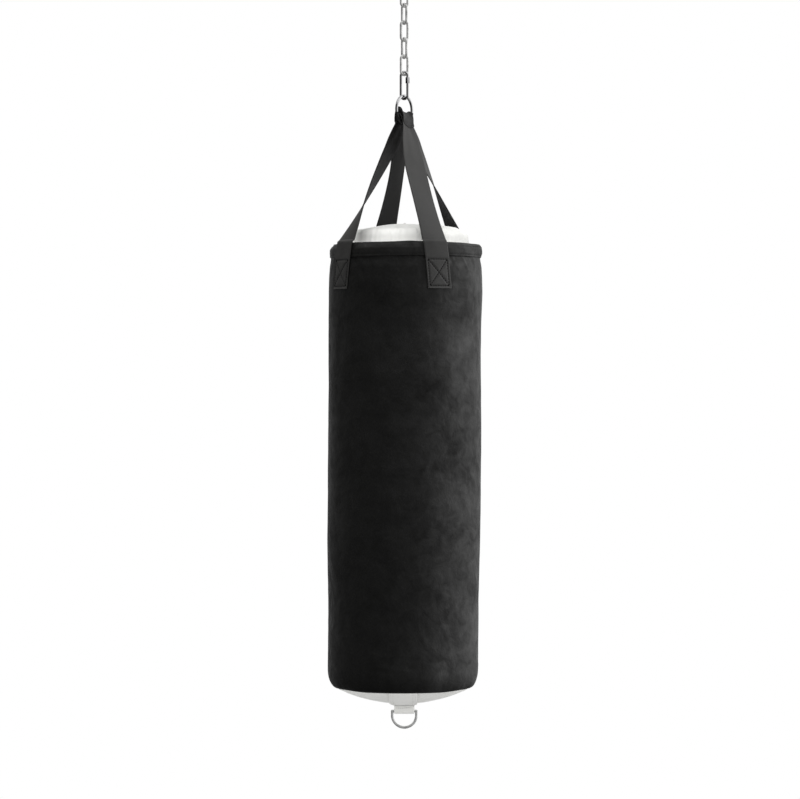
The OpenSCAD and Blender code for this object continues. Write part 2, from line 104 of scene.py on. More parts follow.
def heading(angle):
    return Vector((math.cos(angle), math.sin(angle), 0))


def front_angle(az_degrees):
    """An azimuth counted from the front towards +X, as an angle from +X."""
    return math.radians(az_degrees - 90)


def turn_between(a, b):
    """Smallest turn from b to a."""
    return (a - b + math.pi) % TAU - math.pi


def near_azimuth(angle, azimuth, spread):
    """1 at an azimuth and 1/e at spread on either side of it, both in degrees."""
    return bell(turn_between(angle, front_angle(azimuth)), math.radians(spread))


def ring_of(count, place):
    """place(angle) at count equal steps of a full turn."""
    return [place(TAU * j / count) for j in range(count)]


def circle(centre, u, v, count):
    """Points round a centre; u and v are its two radii, as vectors."""
    return ring_of(count, lambda a: centre + u * math.cos(a) + v * math.sin(a))


def wave(angle, z, scale, seed=0.0):
    """Smooth noise on the bag's side, seamless round it. scale is the size of a lump in metres."""
    r = HEM_R / scale
    return noise.noise(Vector((r * math.cos(angle) + seed, r * math.sin(angle) - seed, z / scale + 2 * seed)))


def pucker(angle, z, scale, seed, depth):
    """Sharp ridges of height 1 with valleys between them, as where a seam draws fabric together."""
    return 1 - abs(wave(angle, z, scale, seed)) * depth


def to_segment(x, y, end_x, end_y):
    """The share along the segment from (0, 0) to its end that is nearest to (x, y), and the distance to it."""
    t = clamp((x * end_x + y * end_y) / (end_x * end_x + end_y * end_y))
    return t, math.hypot(x - end_x * t, y - end_y * t)


def curve_through(knots, x):
    """Cubic through (x, y) knots with gentle tangents; flat beyond its ends."""
    if x <= knots[0][0]:
        return knots[0][1]
    if x >= knots[-1][0]:
        return knots[-1][1]
    i = max(k for k in range(len(knots) - 1) if knots[k][0] <= x)
    (x0, y0), (x1, y1) = knots[i], knots[i + 1]

    def slope(k):
        if k in (0, len(knots) - 1):
            return 0.0
        return (knots[k + 1][1] - knots[k - 1][1]) / (knots[k + 1][0] - knots[k - 1][0])

    h = x1 - x0
    t = (x - x0) / h
    a, b = slope(i) * h, slope(i + 1) * h
    return ((2 * t - 3) * t * t + 1) * y0 + ((t - 2) * t + 1) * t * a + (3 - 2 * t) * t * t * y1 + (t - 1) * t * t * b


# ---- Meshes ----
def add_object(name, data):
    obj = bpy.data.objects.new(name, data)
    bpy.context.collection.objects.link(obj)
    return obj


def make_mesh(name, points, faces, uvs=None):
    mesh = bpy.data.meshes.new(name)
    mesh.from_pydata([tuple(p) for p in points], [], faces)
    mesh.shade_smooth()
    if uvs is not None:
        layer = mesh.uv_layers.new(name="UVMap")
        for loop in mesh.loops:
            layer.data[loop.index].uv = uvs[loop.vertex_index]
    return add_object(name, mesh)


def flatten(rows):
    return [p for row in rows for p in row]


def flipped(faces):
    return [face[::-1] for face in faces]


def grid_faces(rows, cols, wrap_rows=False, start=0):
    """Quads between points laid out as rows of cols points, each of which closes on itself."""
    faces = []
    for i in range(rows if wrap_rows else rows - 1):
        for j in range(cols):
            a, b = i * cols + j, i * cols + (j + 1) % cols
            c, d = ((i + 1) % rows) * cols + (j + 1) % cols, ((i + 1) % rows) * cols + j
            faces.append((start + a, start + d, start + c, start + b))
    return faces


def tube_faces(rows, cols, start=0):
    """A grid with one face over each end."""
    last = start + (rows - 1) * cols
    ends = [tuple(range(start, start + cols)), tuple(reversed(range(last, last + cols)))]
    return grid_faces(rows, cols, start=start) + ends


def end_quads(rows, cols):
    """The ends of a flat tube, shut by quads from one of its broad faces to the other."""
    faces = []
    for first, last in ((0, False), ((rows - 1) * cols, True)):
        for k in range(cols // 2 - 1):
            quad = (first + k, first + k + 1, first + cols - 2 - k, first + cols - 1 - k)
            faces.append(quad[::-1] if last else quad)
    return faces


def ring_mesh(name, rows):
    """Rows of points that close on themselves, the last row joined to the first."""
    return make_mesh(name, flatten(rows), grid_faces(len(rows), len(rows[0]), wrap_rows=True))


def tape_row(steps, place):
    """Once round a flat tape: place(t, 1) across its outer face, then place(t, 0) back; t is from -1 to 1."""
    across = [k / steps * 2 - 1 for k in range(steps + 1)]
    return [place(t, 1) for t in across] + [place(t, 0) for t in reversed(across)]


def finish_piece(obj, body, material, replaces=()):
    obj.data.materials.clear()
    obj.data.materials.append(material)
    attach(obj, body)
    if replaces:
        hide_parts(*replaces)
    return obj


class Tubes:
    """Closed tubes gathered into one mesh."""

    def __init__(self):
        self.points, self.faces = [], []

    def add(self, rows, flip=False):
        faces = tube_faces(len(rows), len(rows[0]), start=len(self.points))
        self.faces += flipped(faces) if flip else faces
        self.points += flatten(rows)

    def build(self, name, body, material, slot, replaces=()):
        return finish_piece(make_mesh(name, self.points, self.faces), body, material, replaces)


class Threads(Tubes):
    """Stitches: each is a short arched thread that thins and dips in at both ends."""
    SIDES, STEPS = 6, 5
    DIP = THIN = 0.55

    def __init__(self, radius=0.45 * MM, length=3.6 * MM, gap=1.2 * MM):
        super().__init__()
        self.radius, self.length, self.gap = radius, length, gap

    def stitch(self, a, b, up):
        side = (b - a).normalized().cross(up).normalized()
        rows = []
        for k in range(self.STEPS + 1):
            t = k / self.STEPS
            rise = math.sin(math.pi * t)
            centre = a.lerp(b, t) + up * self.radius * (rise - self.DIP)
            r = self.radius * mix(self.THIN, 1, rise)
            rows.append(circle(centre, side * r, up * r, self.SIDES))
        self.add(rows)

    def run(self, place, length):
        """place(s) gives (point, outward normal) at s metres along the seam."""
        count = max(1, round(length / (self.length + self.gap)))
        pitch = length / count
        for k in range(count):
            s = k * pitch + self.gap / 2
            (a, up_a), (b, up_b) = place(s), place(s + pitch - self.gap)
            self.stitch(a, b, (up_a + up_b).normalized())


# ---- Camera: eye level with the bag's middle, far away, as a product photograph ----
VIEW_DISTANCE = 8.5
PIXEL, PIXELS_ACROSS = 2.03 * MM, 800
camera = add_object("camera", bpy.data.cameras.new("camera"))
camera.location = (-8.7 * MM, -VIEW_DISTANCE, -0.890)
camera.rotation_euler = (math.radians(90), 0, 0)
camera.data.sensor_width = 36
camera.data.lens = camera.data.sensor_width * VIEW_DISTANCE / (PIXELS_ACROSS * PIXEL)
camera.data.clip_end = 50
bpy.context.scene.camera = camera


# ---- Materials ----
class Nodes:
    """Thin wrapper that adds and joins the nodes of a material or of the world."""

    def __init__(self, tree):
        self.tree = tree

    def feed(self, socket, value):
        if isinstance(value, bpy.types.NodeSocket):
            self.tree.links.new(value, socket)
        else:
            socket.default_value = value

    def add(self, kind, inputs=(), output=0, **settings):
        n = self.tree.nodes.new(kind)
        for key, value in settings.items():
            setattr(n, key, value)
        for key, value in dict(inputs).items():
            self.feed(n.inputs[key], value)
        return n.outputs[output] if n.outputs else None

    def math(self, operation, a, b=0.0):
        return self.add("ShaderNodeMath", {0: a, 1: b}, operation=operation)

    def blend(self, a, b, share):
        return self.math("ADD", self.math("MULTIPLY", a, share), self.math("MULTIPLY", b, 1 - share))

    def ramp(self, factor, stops):
        """stops: (position, grey or colour)"""
        color = self.add("ShaderNodeValToRGB", {"Fac": factor}, "Color")
        elements = color.node.color_ramp.elements
        while len(elements) < len(stops):
            elements.new(0.5)
        for element, (position, value) in zip(elements, stops):
            element.position = position
            element.color = (value, value, value, 1) if isinstance(value, float) else (*value, 1)
        return color


class Surface(Nodes):
    """A material round the principled shader."""

    def __init__(self, name, color, roughness, metallic=0.0, **sockets):
        self.material = bpy.data.materials.new(name)
        self.material.use_nodes = True
        super().__init__(self.material.node_tree)
        self.inputs = self.tree.nodes["Principled BSDF"].inputs
        given = {"Base_Color": (*color, 1), "Roughness": roughness, "Metallic": metallic, **sockets}
        for key, value in given.items():
            self.inputs[key.replace("_", " ")].default_value = value
        self.coords = self.tree.nodes.new("ShaderNodeTexCoord").outputs

    def noise(self, scale, detail=3.0, rough=0.55, distortion=0.0):
        inputs = {"Scale": scale, "Detail": detail, "Roughness": rough, "Distortion": distortion}
        return self.add("ShaderNodeTexNoise", {"Vector": self.coords["Object"], **inputs}, "Fac")

    def cells(self, scale):
        return self.add("ShaderNodeTexVoronoi", {"Vector": self.coords["Object"], "Scale": scale}, "Distance")

    def bands(self, scale, axis, vector):
        return self.add("ShaderNodeTexWave", {"Vector": vector, "Scale": scale}, "Fac",
                        wave_type="BANDS", bands_direction=axis)

    def tint(self, stops, source):
        self.feed(self.inputs["Base Color"], self.ramp(source, stops))

    def vary(self, socket, source, low, high, start=0.0, stop=1.0):
        inputs = {"Value": source, "From Min": start, "From Max": stop, "To Min": low, "To Max": high}
        self.feed(self.inputs[socket], self.add("ShaderNodeMapRange", inputs, "Result"))

    def bump(self, *layers):
        """layers: (height source, distance in metres, strength)"""
        below = {}
        for height, distance, strength in layers:
            inputs = {"Strength": strength, "Distance": distance, "Height": height, **below}
            below = {"Normal": self.add("ShaderNodeBump", inputs, "Normal")}
        self.feed(self.inputs["Normal"], below["Normal"])


def shade(base, factor):
    return tuple(c * factor for c in base)


SMUDGE_LOW, SMUDGE_HIGH = 0.32, 0.68


def coated_fabric(name, color, grain=900.0):
    """Fabric with a thin satin coat: a fine grain, soft creases, and a cloudy colour and sheen."""
    s = Surface(name, color, 0.5, Specular_IOR_Level=0.45)
    cloud = s.noise(11, 5, 0.6, distortion=0.5)
    s.tint([(0.2, shade(color, 0.72)), (0.5, color), (0.8, shade(color, 1.45))],
           s.blend(cloud, s.noise(55, 4, 0.6), 0.55))
    smudge = s.blend(cloud, s.noise(34, 4, 0.6, distortion=0.8), 0.5)
    s.vary("Roughness", smudge, 0.60, 0.43, SMUDGE_LOW, SMUDGE_HIGH)
    s.vary("Specular IOR Level", smudge, 0.21, 0.71, SMUDGE_LOW, SMUDGE_HIGH)
    s.bump((s.noise(10, 3, 0.5, distortion=0.6), 8 * MM, 0.7), (s.noise(32, 4, 0.6, distortion=0.4), 2.4 * MM, 0.6),
           (s.noise(160, 3, 0.6), 0.25 * MM, 0.4), (s.cells(grain), 0.12 * MM, 0.5))
    return s.material


def white_canvas(name, color):
    """Plain woven canvas, a little soiled in its creases."""
    s = Surface(name, color, 0.75, Specular_IOR_Level=0.25, Sheen_Weight=0.08, Sheen_Roughness=0.5)
    cloud = s.noise(14, 5, 0.6)
    s.tint([(0.25, shade(color, 0.88)), (0.5, color), (0.8, shade(color, 1.05))], cloud)
    yarns = [s.bands(260, axis, s.coords["Object"]) for axis in "XY"]
    s.bump((s.noise(26, 4, 0.6, distortion=0.6), 1.6 * MM, 0.4), (s.math("MULTIPLY", *yarns), 0.12 * MM, 0.35),
           (s.noise(420, 2), 0.1 * MM, 0.3))
    s.vary("Roughness", cloud, 0.68, 0.85)
    return s.material


# A wave texture of scale 1 / (BAND * w) has bands about w wide
BAND = 3.1416


def webbing(name, color, rib=1.7 * MM, worn_by=1.0, spec=0.9):
    """Narrow woven webbing. UV is in metres: U across the strap and V along it."""
    s = Surface(name, color, 0.6, Specular_IOR_Level=spec)
    uv = s.coords["UV"]
    ribs = s.bands(1 / (BAND * rib), "Y", s.add("ShaderNodeMapping", {"Vector": uv, "Rotation": (0, 0, 0.5)}))
    yarns = s.bands(2 / (BAND * 2.4 * rib), "X", uv)
    fuzz = s.noise(700, 3, 0.6)
    s.tint([(0.25, shade(color, 1 - 0.3 * worn_by)), (0.5, color), (0.85, shade(color, 1 + 0.6 * worn_by))],
           s.blend(s.noise(40, 5, 0.65), fuzz, 0.6))
    s.vary("Roughness", fuzz, 0.5, 0.7)
    s.bump((s.noise(45, 3, 0.5), 0.8 * MM, 0.3), (s.math("MULTIPLY", ribs, yarns), 0.35 * MM, 0.55),
           (fuzz, 0.12 * MM, 0.4))
    return s.material


def fine_grained(name, color, roughness, grain, relief, low, **more):
    """Thread and moulded plastic. grain is (scale, detail) of the noise, relief is (depth, strength), and low is
    the share of the colour in its darkest places."""
    s = Surface(name, color, roughness, **more)
    fine = s.noise(*grain)
    s.tint([(0.3, shade(color, low)), (0.7, shade(color, 1.15))], fine)
    s.bump((fine, *relief))
    return s.material


def thread_material(name, color, shine=0.4):
    return fine_grained(name, color, 0.6, (1500, 2), (0.1 * MM, 0.5), 0.8, Specular_IOR_Level=shine)


def plated(name, color, roughness, dark=0.6, scale=60.0, metallic=1.0):
    """Zinc, nickel or chrome plate with faint tarnish and small dents."""
    s = Surface(name, color, roughness, metallic)
    s.tint([(0.3, shade(color, dark)), (0.55, color), (0.8, shade(color, 1.1))], s.noise(scale, 5, 0.65))
    s.vary("Roughness", s.noise(scale * 3, 4, 0.6), roughness * 0.7, roughness * 1.6)
    s.bump((s.noise(220, 3, 0.5), 0.12 * MM, 0.3))
    return s.material


def lumpy_stuff(name, color, scale, depth):
    """Hidden filling: foam, shredded textile or sandbag."""
    s = Surface(name, color, 0.9)
    lumps = s.cells(scale)
    s.tint([(0.1, shade(color, 0.7)), (0.6, shade(color, 1.1))], lumps)
    s.bump((lumps, depth, 0.6), (s.noise(scale * 4, 4), depth / 3, 0.4))
    return s.material


CHARCOAL = (0.0036, 0.0036, 0.0033)
HEM_GREY = (0.0052, 0.0052, 0.0048)
WEBBING_GREY = (0.0135, 0.0130, 0.0120)
CANVAS_WHITE = (0.80, 0.80, 0.775)
shell_material = coated_fabric("charcoal_coated_fabric", CHARCOAL)
hem_material = coated_fabric("charcoal_hem_tape", HEM_GREY, grain=700.0)
seam_material = coated_fabric("charcoal_seam_strip", shade(CHARCOAL, 0.85), grain=700.0)
# Near-black fabric for the wrap over the ring and the sheath on its wire: painted shade where these lie in shade
painted_shade_fabric = coated_fabric("black_painted_shade_fabric", (0.006, 0.006, 0.0056), grain=1100.0)
canvas_material = white_canvas("white_canvas", CANVAS_WHITE)
black_webbing = webbing("charcoal_webbing", WEBBING_GREY)
# A darker copy of the webbing for the straps' inner and side faces: painted shade
painted_shade_webbing = webbing("charcoal_webbing_painted_shade", shade(WEBBING_GREY, 0.35), spec=0.5)
white_webbing = webbing("white_webbing", shade(CANVAS_WHITE, 1.10), worn_by=0.12)
zip_tape_material = webbing("zip_tape_black", (0.014, 0.014, 0.014), rib=0.9 * MM)
zip_teeth_material = fine_grained("zip_teeth_black", (0.012, 0.012, 0.012), 0.35, (600, 3), (0.05 * MM, 0.3), 0.85)
black_thread = thread_material("black_thread", (0.004, 0.004, 0.0038), shine=0.12)
white_thread = thread_material("white_thread", (0.72, 0.72, 0.70))
zinc = plated("zinc_plate", (0.58, 0.58, 0.57), 0.24)
chain_steel = plated("bright_chain_steel", (0.78, 0.78, 0.77), 0.20, dark=0.5, scale=90.0, metallic=0.78)
chrome = plated("polished_chrome", (0.72, 0.72, 0.73), 0.08, dark=0.8, scale=40.0)
nickel = plated("satin_nickel", (0.80, 0.80, 0.80), 0.14, dark=0.55, scale=70.0, metallic=0.62)
zip_metal = plated("zip_pull_nickel", (0.42, 0.42, 0.41), 0.28)
foam_material = lumpy_stuff("grey_foam", (0.25, 0.25, 0.24), 260, 0.5 * MM)
fill_material = lumpy_stuff("shredded_textile", (0.22, 0.17, 0.16), 60, 3 * MM)
sand_material = lumpy_stuff("sand_in_bags", (0.42, 0.33, 0.22), 900, 0.3 * MM)

# ---- Materials of the CAD nodes that stay ----
node_materials = {
    **dict.fromkeys(("ceiling_plate", "swivel_housing", "swivel_washer", "swivel_nut"), zinc),
    **dict.fromkeys(("swivel_eye", *(f"chain_link_{i}" for i in range(1, 6))), chain_steel),
    **dict.fromkeys(("quick_link", "quick_link_nut", "hanging_ring"), chrome),
    **dict.fromkeys(("zip_slider", "zip_pull"), zip_metal),
    **dict.fromkeys(("sand_bag_upper", "sand_bag_middle", "sand_bag_lower"), sand_material),
    "bottom_d_ring": nickel,
}
for name, material in node_materials.items():
    mesh = nodes[name].data
    mesh.materials.clear()
    mesh.materials.append(material)

# ---- The bag's form ----
# Radius down the bag in millimetres: corner, belly, waist, shoulder, neck (heights below the top edge)
SHELL_KNOTS = [(-0.8455, 152.5), (-0.722, 152.7), (-0.661, 153.8), (-0.600, 155.0), (-0.539, 155.5),
               (-0.418, 155.8), (-0.296, 154.7), (-0.174, 154.8), (-0.097, 156.0), (-0.052, 153.9),
               (-0.0333, 151.0), (-0.025, 151.0), (0.0, 151.4)]
# Sideways lean of the bag's middle line in millimetres
LEAN_KNOTS = [(-0.901, -2.6), (-0.845, -2.9), (-0.722, -1.8), (-0.600, -1.2), (-0.539, -0.3), (-0.418, 0.8),
              (-0.296, 0.9), (-0.174, 1.0), (-0.097, 2.4), (0.0, 2.4)]
CORNER_W, CORNER_H = 18.7 * MM, 37 * MM
CORNER_Z = RIM_Z + CORNER_H
# Each strap foot: its azimuth, and how far round the bag its upper and lower ends are sewn from it (degrees)
FEET = {"front": (25.5, -3.0, 0.6), "right": (132.0, 0.0, 0.0),
        "back": (198.0, 0.7, 0.0), "left": (304.0, 3.4, -2.0)}
STRAP_W, STRAP_T = 52 * MM, 2.6 * MM
FOOT_LENGTH = 94 * MM
FOOT_LOW = HEM_TOP - FOOT_LENGTH
FOOT_GAP = 0.3 * MM
FOOT_SPREAD = 1.7 * MM
SHELL_UNDER_FOOT = 0.25 * MM
# Creases in the shell: (azimuth, depth below the top edge) of each end, half width and height
CREASES = [((49, 33), (57, 68), 3.2, 1.5), ((38, 33), (44, 60), 3.0, 1.0), ((12, 33), (5, 74), 4.0, 0.9),
           ((-38, 33), (-30, 66), 4.0, 1.0), ((-72, 34), (-80, 72), 3.4, 1.1), ((84, 33), (91, 62), 4.0, 0.9),
           ((112, 33), (104, 70), 3.6, 1.1), ((150, 33), (156, 66), 3.2, 1.0), ((176, 33), (170, 72), 3.6, 1.0),
           ((216, 33), (224, 68), 3.6, 1.1), ((250, 33), (243, 64), 4.0, 0.9), ((-20, 850), (8, 862), 5.0, 1.0),
           ((62, 842), (98, 858), 5.0, 1.1), ((150, 846), (186, 860), 5.0, 1.0), ((226, 842), (262, 858), 5.0, 1.1)]
CREASE_REACH, CREASE_WIDTHS = 0.06, 4


def lean(z):
    return curve_through(LEAN_KNOTS, z - HEM_TOP) * MM


def bag_point(r, angle, z):
    """A point at a distance from the leaning middle line."""
    return Vector((r * math.cos(angle) + lean(z), r * math.sin(angle), z))


def crease_height(angle, z):
    """Height of all creases over the shell: each is sharp at its first end and runs out at the other."""
    total = 0.0
    depth = HEM_TOP - z
    for (az0, d0), (az1, d1), width, height in CREASES:
        if abs(depth - (d0 + d1) / 2 * MM) > CREASE_REACH:
            continue
        across, down = turn_between(angle, front_angle(az0)) * HEM_R, depth - d0 * MM
        t, away = to_segment(across, down, math.radians(az1 - az0) * HEM_R, (d1 - d0) * MM)
        if away < CREASE_WIDTHS * width * MM:
            total += height * MM * bell(away, width * MM) * (1 - smooth(t)) ** 0.5
    return total


def foot_angle(foot, drop):
    """Angle of a foot's middle line; drop is 0 at the hem's top edge and 1 at the foot's lower end."""
    az, upper, lower = FEET[foot]
    return front_angle(az + mix(upper, lower, drop ** 0.7))


def foot_cover(angle, z):
    """1 where a strap's foot lies over the bag's side, falling to 0 round it."""
    drop = clamp((HEM_TOP - z) / FOOT_LENGTH)
    turn = min(abs(turn_between(angle, foot_angle(foot, drop))) for foot in FEET)
    side = 1 - smooth((turn * HEM_R - STRAP_W / 2 + 1 * MM) / (9 * MM))
    return side * (1 - smooth((FOOT_LOW - z + 1 * MM) / (10 * MM)))


def foot_inner_r(z):
    """Radius of the feet's inner face: over the hem, then out to the shoulder."""
    return HEM_R + FOOT_GAP + FOOT_SPREAD * clamp((HEM_TOP - z) / FOOT_LENGTH)


def shell_radius(angle, z):
    """Distance of the shell's outer face from the leaning middle line."""
    if z >= CORNER_Z:
        r = curve_through(SHELL_KNOTS, z - HEM_TOP) * MM
    else:
        s = min(1, (CORNER_Z - z) / CORNER_H)
        r = SHELL_KNOTS[0][1] * MM - CORNER_W * (1 - math.sqrt(1 - s * s))
    # swells and dents, calmer at the foot
    calm = mix(0.25, 1, smooth((z - RIM_Z) / (30 * MM)))
    r += calm * (0.9 * MM * wave(angle, z, 0.16) + 0.45 * MM * wave(angle, z, 0.055, 3.1))
    r += 0.2 * MM * wave(angle, z, 0.02, 7.7)
    # gathers under the hem and over the lower edge
    below, above = NECK_Z - z, z - RIM_Z
    if -5 * MM < below < 0.12:
        r += 0.9 * MM * pucker(angle, z * 0.12, 0.030, 11.0, 2.4) * math.exp(-max(0, below) / (26 * MM))
    if above < 0.06:
        fade = math.exp(-above / (16 * MM)) * smooth(above / (6 * MM))
        r += 0.7 * MM * pucker(angle, z * 0.15, 0.026, 17.0, 2.4) * fade
    r += crease_height(angle, z)
    # pressed flat under the straps' feet
    if FOOT_LOW - 30 * MM < z < NECK_Z + 2 * MM:
        hold = foot_cover(angle, z) * smooth((NECK_Z - z) / (6 * MM))
        r = mix(r, foot_inner_r(z) - SHELL_UNDER_FOOT, hold)
    return r


CURL_LEFT, CURL_RIGHT, CURL_DEPTH = 7 * MM, 1 * MM, 15 * MM


def hem_curl(angle, z):
    """How far the soft top edge leans inwards between the straps' feet."""
    if z < HEM_TOP - CURL_DEPTH:
        return 0.0
    curl = mix(CURL_LEFT, CURL_RIGHT, (1 + math.cos(angle)) / 2)
    return curl * smooth((z - HEM_TOP + CURL_DEPTH) / CURL_DEPTH) * (1 - foot_cover(angle, z))


def on_bag(angle, z, lift=0.0):
    return bag_point(shell_radius(angle, z) + lift - hem_curl(angle, z), angle, z)


# ---- Shell ----
AROUND = by_detail(360)
DOWN = by_detail(270)
SHELL_T = 2 * MM
SHELL_EDGE = HEM_TOP - 2.5 * MM
# (inwards, upwards) of the rows that turn the lower edge in, in millimetres
LIP = ((3.0, 0.4), (4.6, 2.0), (4.8, 8.0))
RIM_DIP, DIP_REACH, DIP_FADE = 2.8 * MM, 64, 34


def rim_dip(angle, z):
    """The filling presses the lower edge down a little all along the front."""
    away = abs(math.degrees(turn_between(angle, front_angle(0))))
    return RIM_DIP * smooth((DIP_REACH - away) / DIP_FADE) * smooth((CORNER_Z - z) / CORNER_H)


def build_shell():
    outside = spaced(SHELL_EDGE, CORNER_Z, DOWN)
    outside += [CORNER_Z - CORNER_H * math.sin(math.radians(a)) for a in spaced(4, 90, 26)]
    inside = spaced(RIM_Z + 14 * MM, CORNER_Z, 4) + spaced(CORNER_Z, SHELL_EDGE, 9)[1:]
    # each row: its level, how far outwards it lies from the outer face, and how far above its level
    stations = [(z, 0.0, 0.0) for z in outside]
    stations += [(RIM_Z, -out * MM, up * MM) for out, up in LIP]
    stations += [(z, -SHELL_T - 0.8 * MM, 0.0) for z in inside]
    rows = [ring_of(AROUND, lambda a: on_bag(a, z, out) + Vector((0, 0, up - rim_dip(a, z))))
            for z, out, up in stations]
    finish_piece(ring_mesh("shell_fabric", rows), "bag", shell_material, ["shell"])


build_shell()

# ---- Foam liner: it follows the shell's inner face and leans with it ----
HIDDEN_AROUND = 72


def build_foam():
    foam_lo, foam_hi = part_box("foam_liner")
    heights = spaced(foam_hi.z, foam_lo.z, 60)
    rows = [ring_of(HIDDEN_AROUND, lambda a: on_bag(a, z, -SHELL_T - 1.6 * MM)) for z in heights]
    rows += [ring_of(HIDDEN_AROUND, lambda a: bag_point(CORE_R + 0.2 * MM, a, z)) for z in reversed(heights)]
    finish_piece(ring_mesh("foam_liner_sleeve", rows), "bag", foam_material, ["foam_liner"])


build_foam()

# ---- Folded tape round the top edge ----
HEM_T = 2 * MM
HEM_IN_R = HEM_R - 8.9 * MM
HEM_EDGE, HEM_ROUND = 3.2 * MM, 10.5 * MM
HEM_ROWS = (8.0 * MM, 25.0 * MM)
GROOVE_DEPTH, GROOVE_WIDTH = 0.6 * MM, 1.8 * MM
HEM_PROUD = 2.2 * MM
# Where the top edge hangs lower or stands higher: azimuth, spread and depth
HEM_SAGS = ((-78, 26, 3.2 * MM), (78, 30, 1.8 * MM), (5, 11, -1.5 * MM))


def hem_outer_r(angle, z):
    r = HEM_R - 0.4 * MM + HEM_PROUD * near_azimuth(angle, 90, 38) * smooth((z - HEM_BOTTOM) / (12 * MM))
    r += 0.7 * MM * wave(angle, z * 0.4, 0.05, 21.0) + 0.35 * MM * wave(angle, z, 0.022, 23.0)
    r -= sum(GROOVE_DEPTH * bell(HEM_TOP - row - z, GROOVE_WIDTH) for row in HEM_ROWS)
    drawn = pucker(angle, z * 0.3, 0.014, 31.0, 2.6) * smooth((HEM_TOP - 8 * MM - z) / (14 * MM))
    return r + 0.45 * MM * drawn * (1 - foot_cover(angle, z))


def hem_section(angle):
    """(radius, height) round the folded tape: up the outside, over the soft top edge, down the inside."""
    low = HEM_BOTTOM - 0.9 * MM * wave(angle, 0.3, 0.05, 5.0) - 2.0 * MM * near_azimuth(angle, -48, 24)
    sag = sum(depth * near_azimuth(angle, azimuth, spread) for azimuth, spread, depth in HEM_SAGS)
    top = HEM_TOP - 0.6 * MM - sag + 0.6 * MM * wave(angle, 0.5, 0.045, 9.0)
    mid_r, half = (HEM_R + HEM_IN_R) / 2, (HEM_R - HEM_IN_R) / 2
    ring = []
    for a in map(math.radians, (80, 55, 30)):
        z = low + HEM_EDGE * (1 - math.sin(a))
        ring.append((hem_outer_r(angle, z) - HEM_EDGE * (1 - math.cos(a)), z))
    ring += [(hem_outer_r(angle, z), z) for z in spaced(low + HEM_EDGE, top - HEM_ROUND, 15)]
    outer_half = half + hem_outer_r(angle, top - HEM_ROUND) - HEM_R
    for turns, reach, drop in (((15, 30, 45, 60, 75), outer_half, HEM_ROUND), ((90, 110, 130, 150, 168), half, HEM_T)):
        ring += [(mid_r + reach * math.cos(a), top - drop * (1 - math.sin(a))) for a in map(math.radians, turns)]
    ring += [(HEM_IN_R, z) for z in spaced(HEM_TOP - 4 * MM, HEM_TOP - 18 * MM, 5)]
    ring += [(HEM_IN_R + HEM_T, z) for z in spaced(HEM_TOP - 18 * MM, HEM_TOP - 5 * MM, 3)]
    ring += [(HEM_R - HEM_T - 0.4 * MM, z) for z in spaced(HEM_TOP - 6 * MM, low + HEM_EDGE, 3)]
    return [(r - hem_curl(angle, z), z) for r, z in ring]


def build_hem():
    rows = ring_of(AROUND, lambda angle: [bag_point(r, angle, z) for r, z in hem_section(angle)])
    finish_piece(ring_mesh("top_hem_tape", rows), "bag", hem_material, ["top_hem"])
    threads = Threads(radius=0.4 * MM)
    for row in HEM_ROWS:
        def place(s, z=HEM_TOP - row):
            angle = s / HEM_R
            return bag_point(hem_outer_r(angle, z) - hem_curl(angle, z), angle, z), heading(angle)

        threads.run(place, TAU * HEM_R)
    threads.build("hem_stitches", "bag", black_thread, "hem_fabric")


build_hem()


# ---- White top panel ----
CANVAS_T = 1.6 * MM


def build_panel(name, node, points, down=False):
    """A round sewn panel from its middle point and rings of AROUND points; down turns its outer face downwards."""
    faces = [(0, 1 + j, 1 + (j + 1) % AROUND) for j in range(AROUND)]
    faces += grid_faces((len(points) - 1) // AROUND, AROUND, start=1)
    if down:
        faces = [(face[0], *face[:0:-1]) for face in faces]
    panel = make_mesh(name, points, faces)
    solid = panel.modifiers.new("thickness", "SOLIDIFY")
    solid.thickness, solid.offset = CANVAS_T, -1
    finish_piece(panel, "bag", canvas_material, [node])


CROWN_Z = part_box("top_panel")[1].z
CROWN_SPHERE = 330 * MM
CROWN_R, CROWN_CORNER_W, CROWN_CORNER_H = 107 * MM, 15 * MM, 20 * MM
GUTTER_Z = HEM_TOP - 18.5 * MM
FLANGE_R = HEM_IN_R + HEM_T + 0.3 * MM
GUTTER_R = FLANGE_R - 7 * MM
DOME_FLARE, DOME_FILL = 21 * MM, 6 * MM
ZIP_BACK = 50 * MM


def crown_height(r):
    """Level of the sphere that the top panel's middle follows."""
    return CROWN_Z - CROWN_SPHERE + math.sqrt(CROWN_SPHERE ** 2 - r * r)


def crown_profile():
    """(radius, height) from the middle out to the sewn edge inside the hem."""
    cap_r = CROWN_R - CROWN_CORNER_W
    side_z = crown_height(cap_r) - CROWN_CORNER_H
    path = [(cap_r * i / 26, crown_height(cap_r * i / 26)) for i in range(1, 27)]
    for middle, width, height, turns in ((cap_r, CROWN_CORNER_W, CROWN_CORNER_H, spaced(62, 0, 9)),
                                         (GUTTER_R, GUTTER_R - CROWN_R, side_z - GUTTER_Z, spaced(190, 270, 10))):
        path += [(middle + width * math.cos(a), side_z + height * math.sin(a)) for a in map(math.radians, turns)]
    return path + [(FLANGE_R - 3 * MM, GUTTER_Z), (FLANGE_R, GUTTER_Z + 2 * MM), (FLANGE_R, HEM_TOP - 6 * MM)]


def puff(x, y):
    """Uneven stuffing: higher towards +X, lower towards -X and in front of the zip."""
    ends = 5.5 * MM * bell(x - 84 * MM, 34 * MM) - 1.0 * MM * bell(x + 88 * MM, 26 * MM)
    front = 2.4 * MM * falls(y, 32, 22) * falls(math.hypot(x, y), 105, 20)
    return ends * bell(y + 5 * MM, 19 * MM if y > 0 else 60 * MM) - front


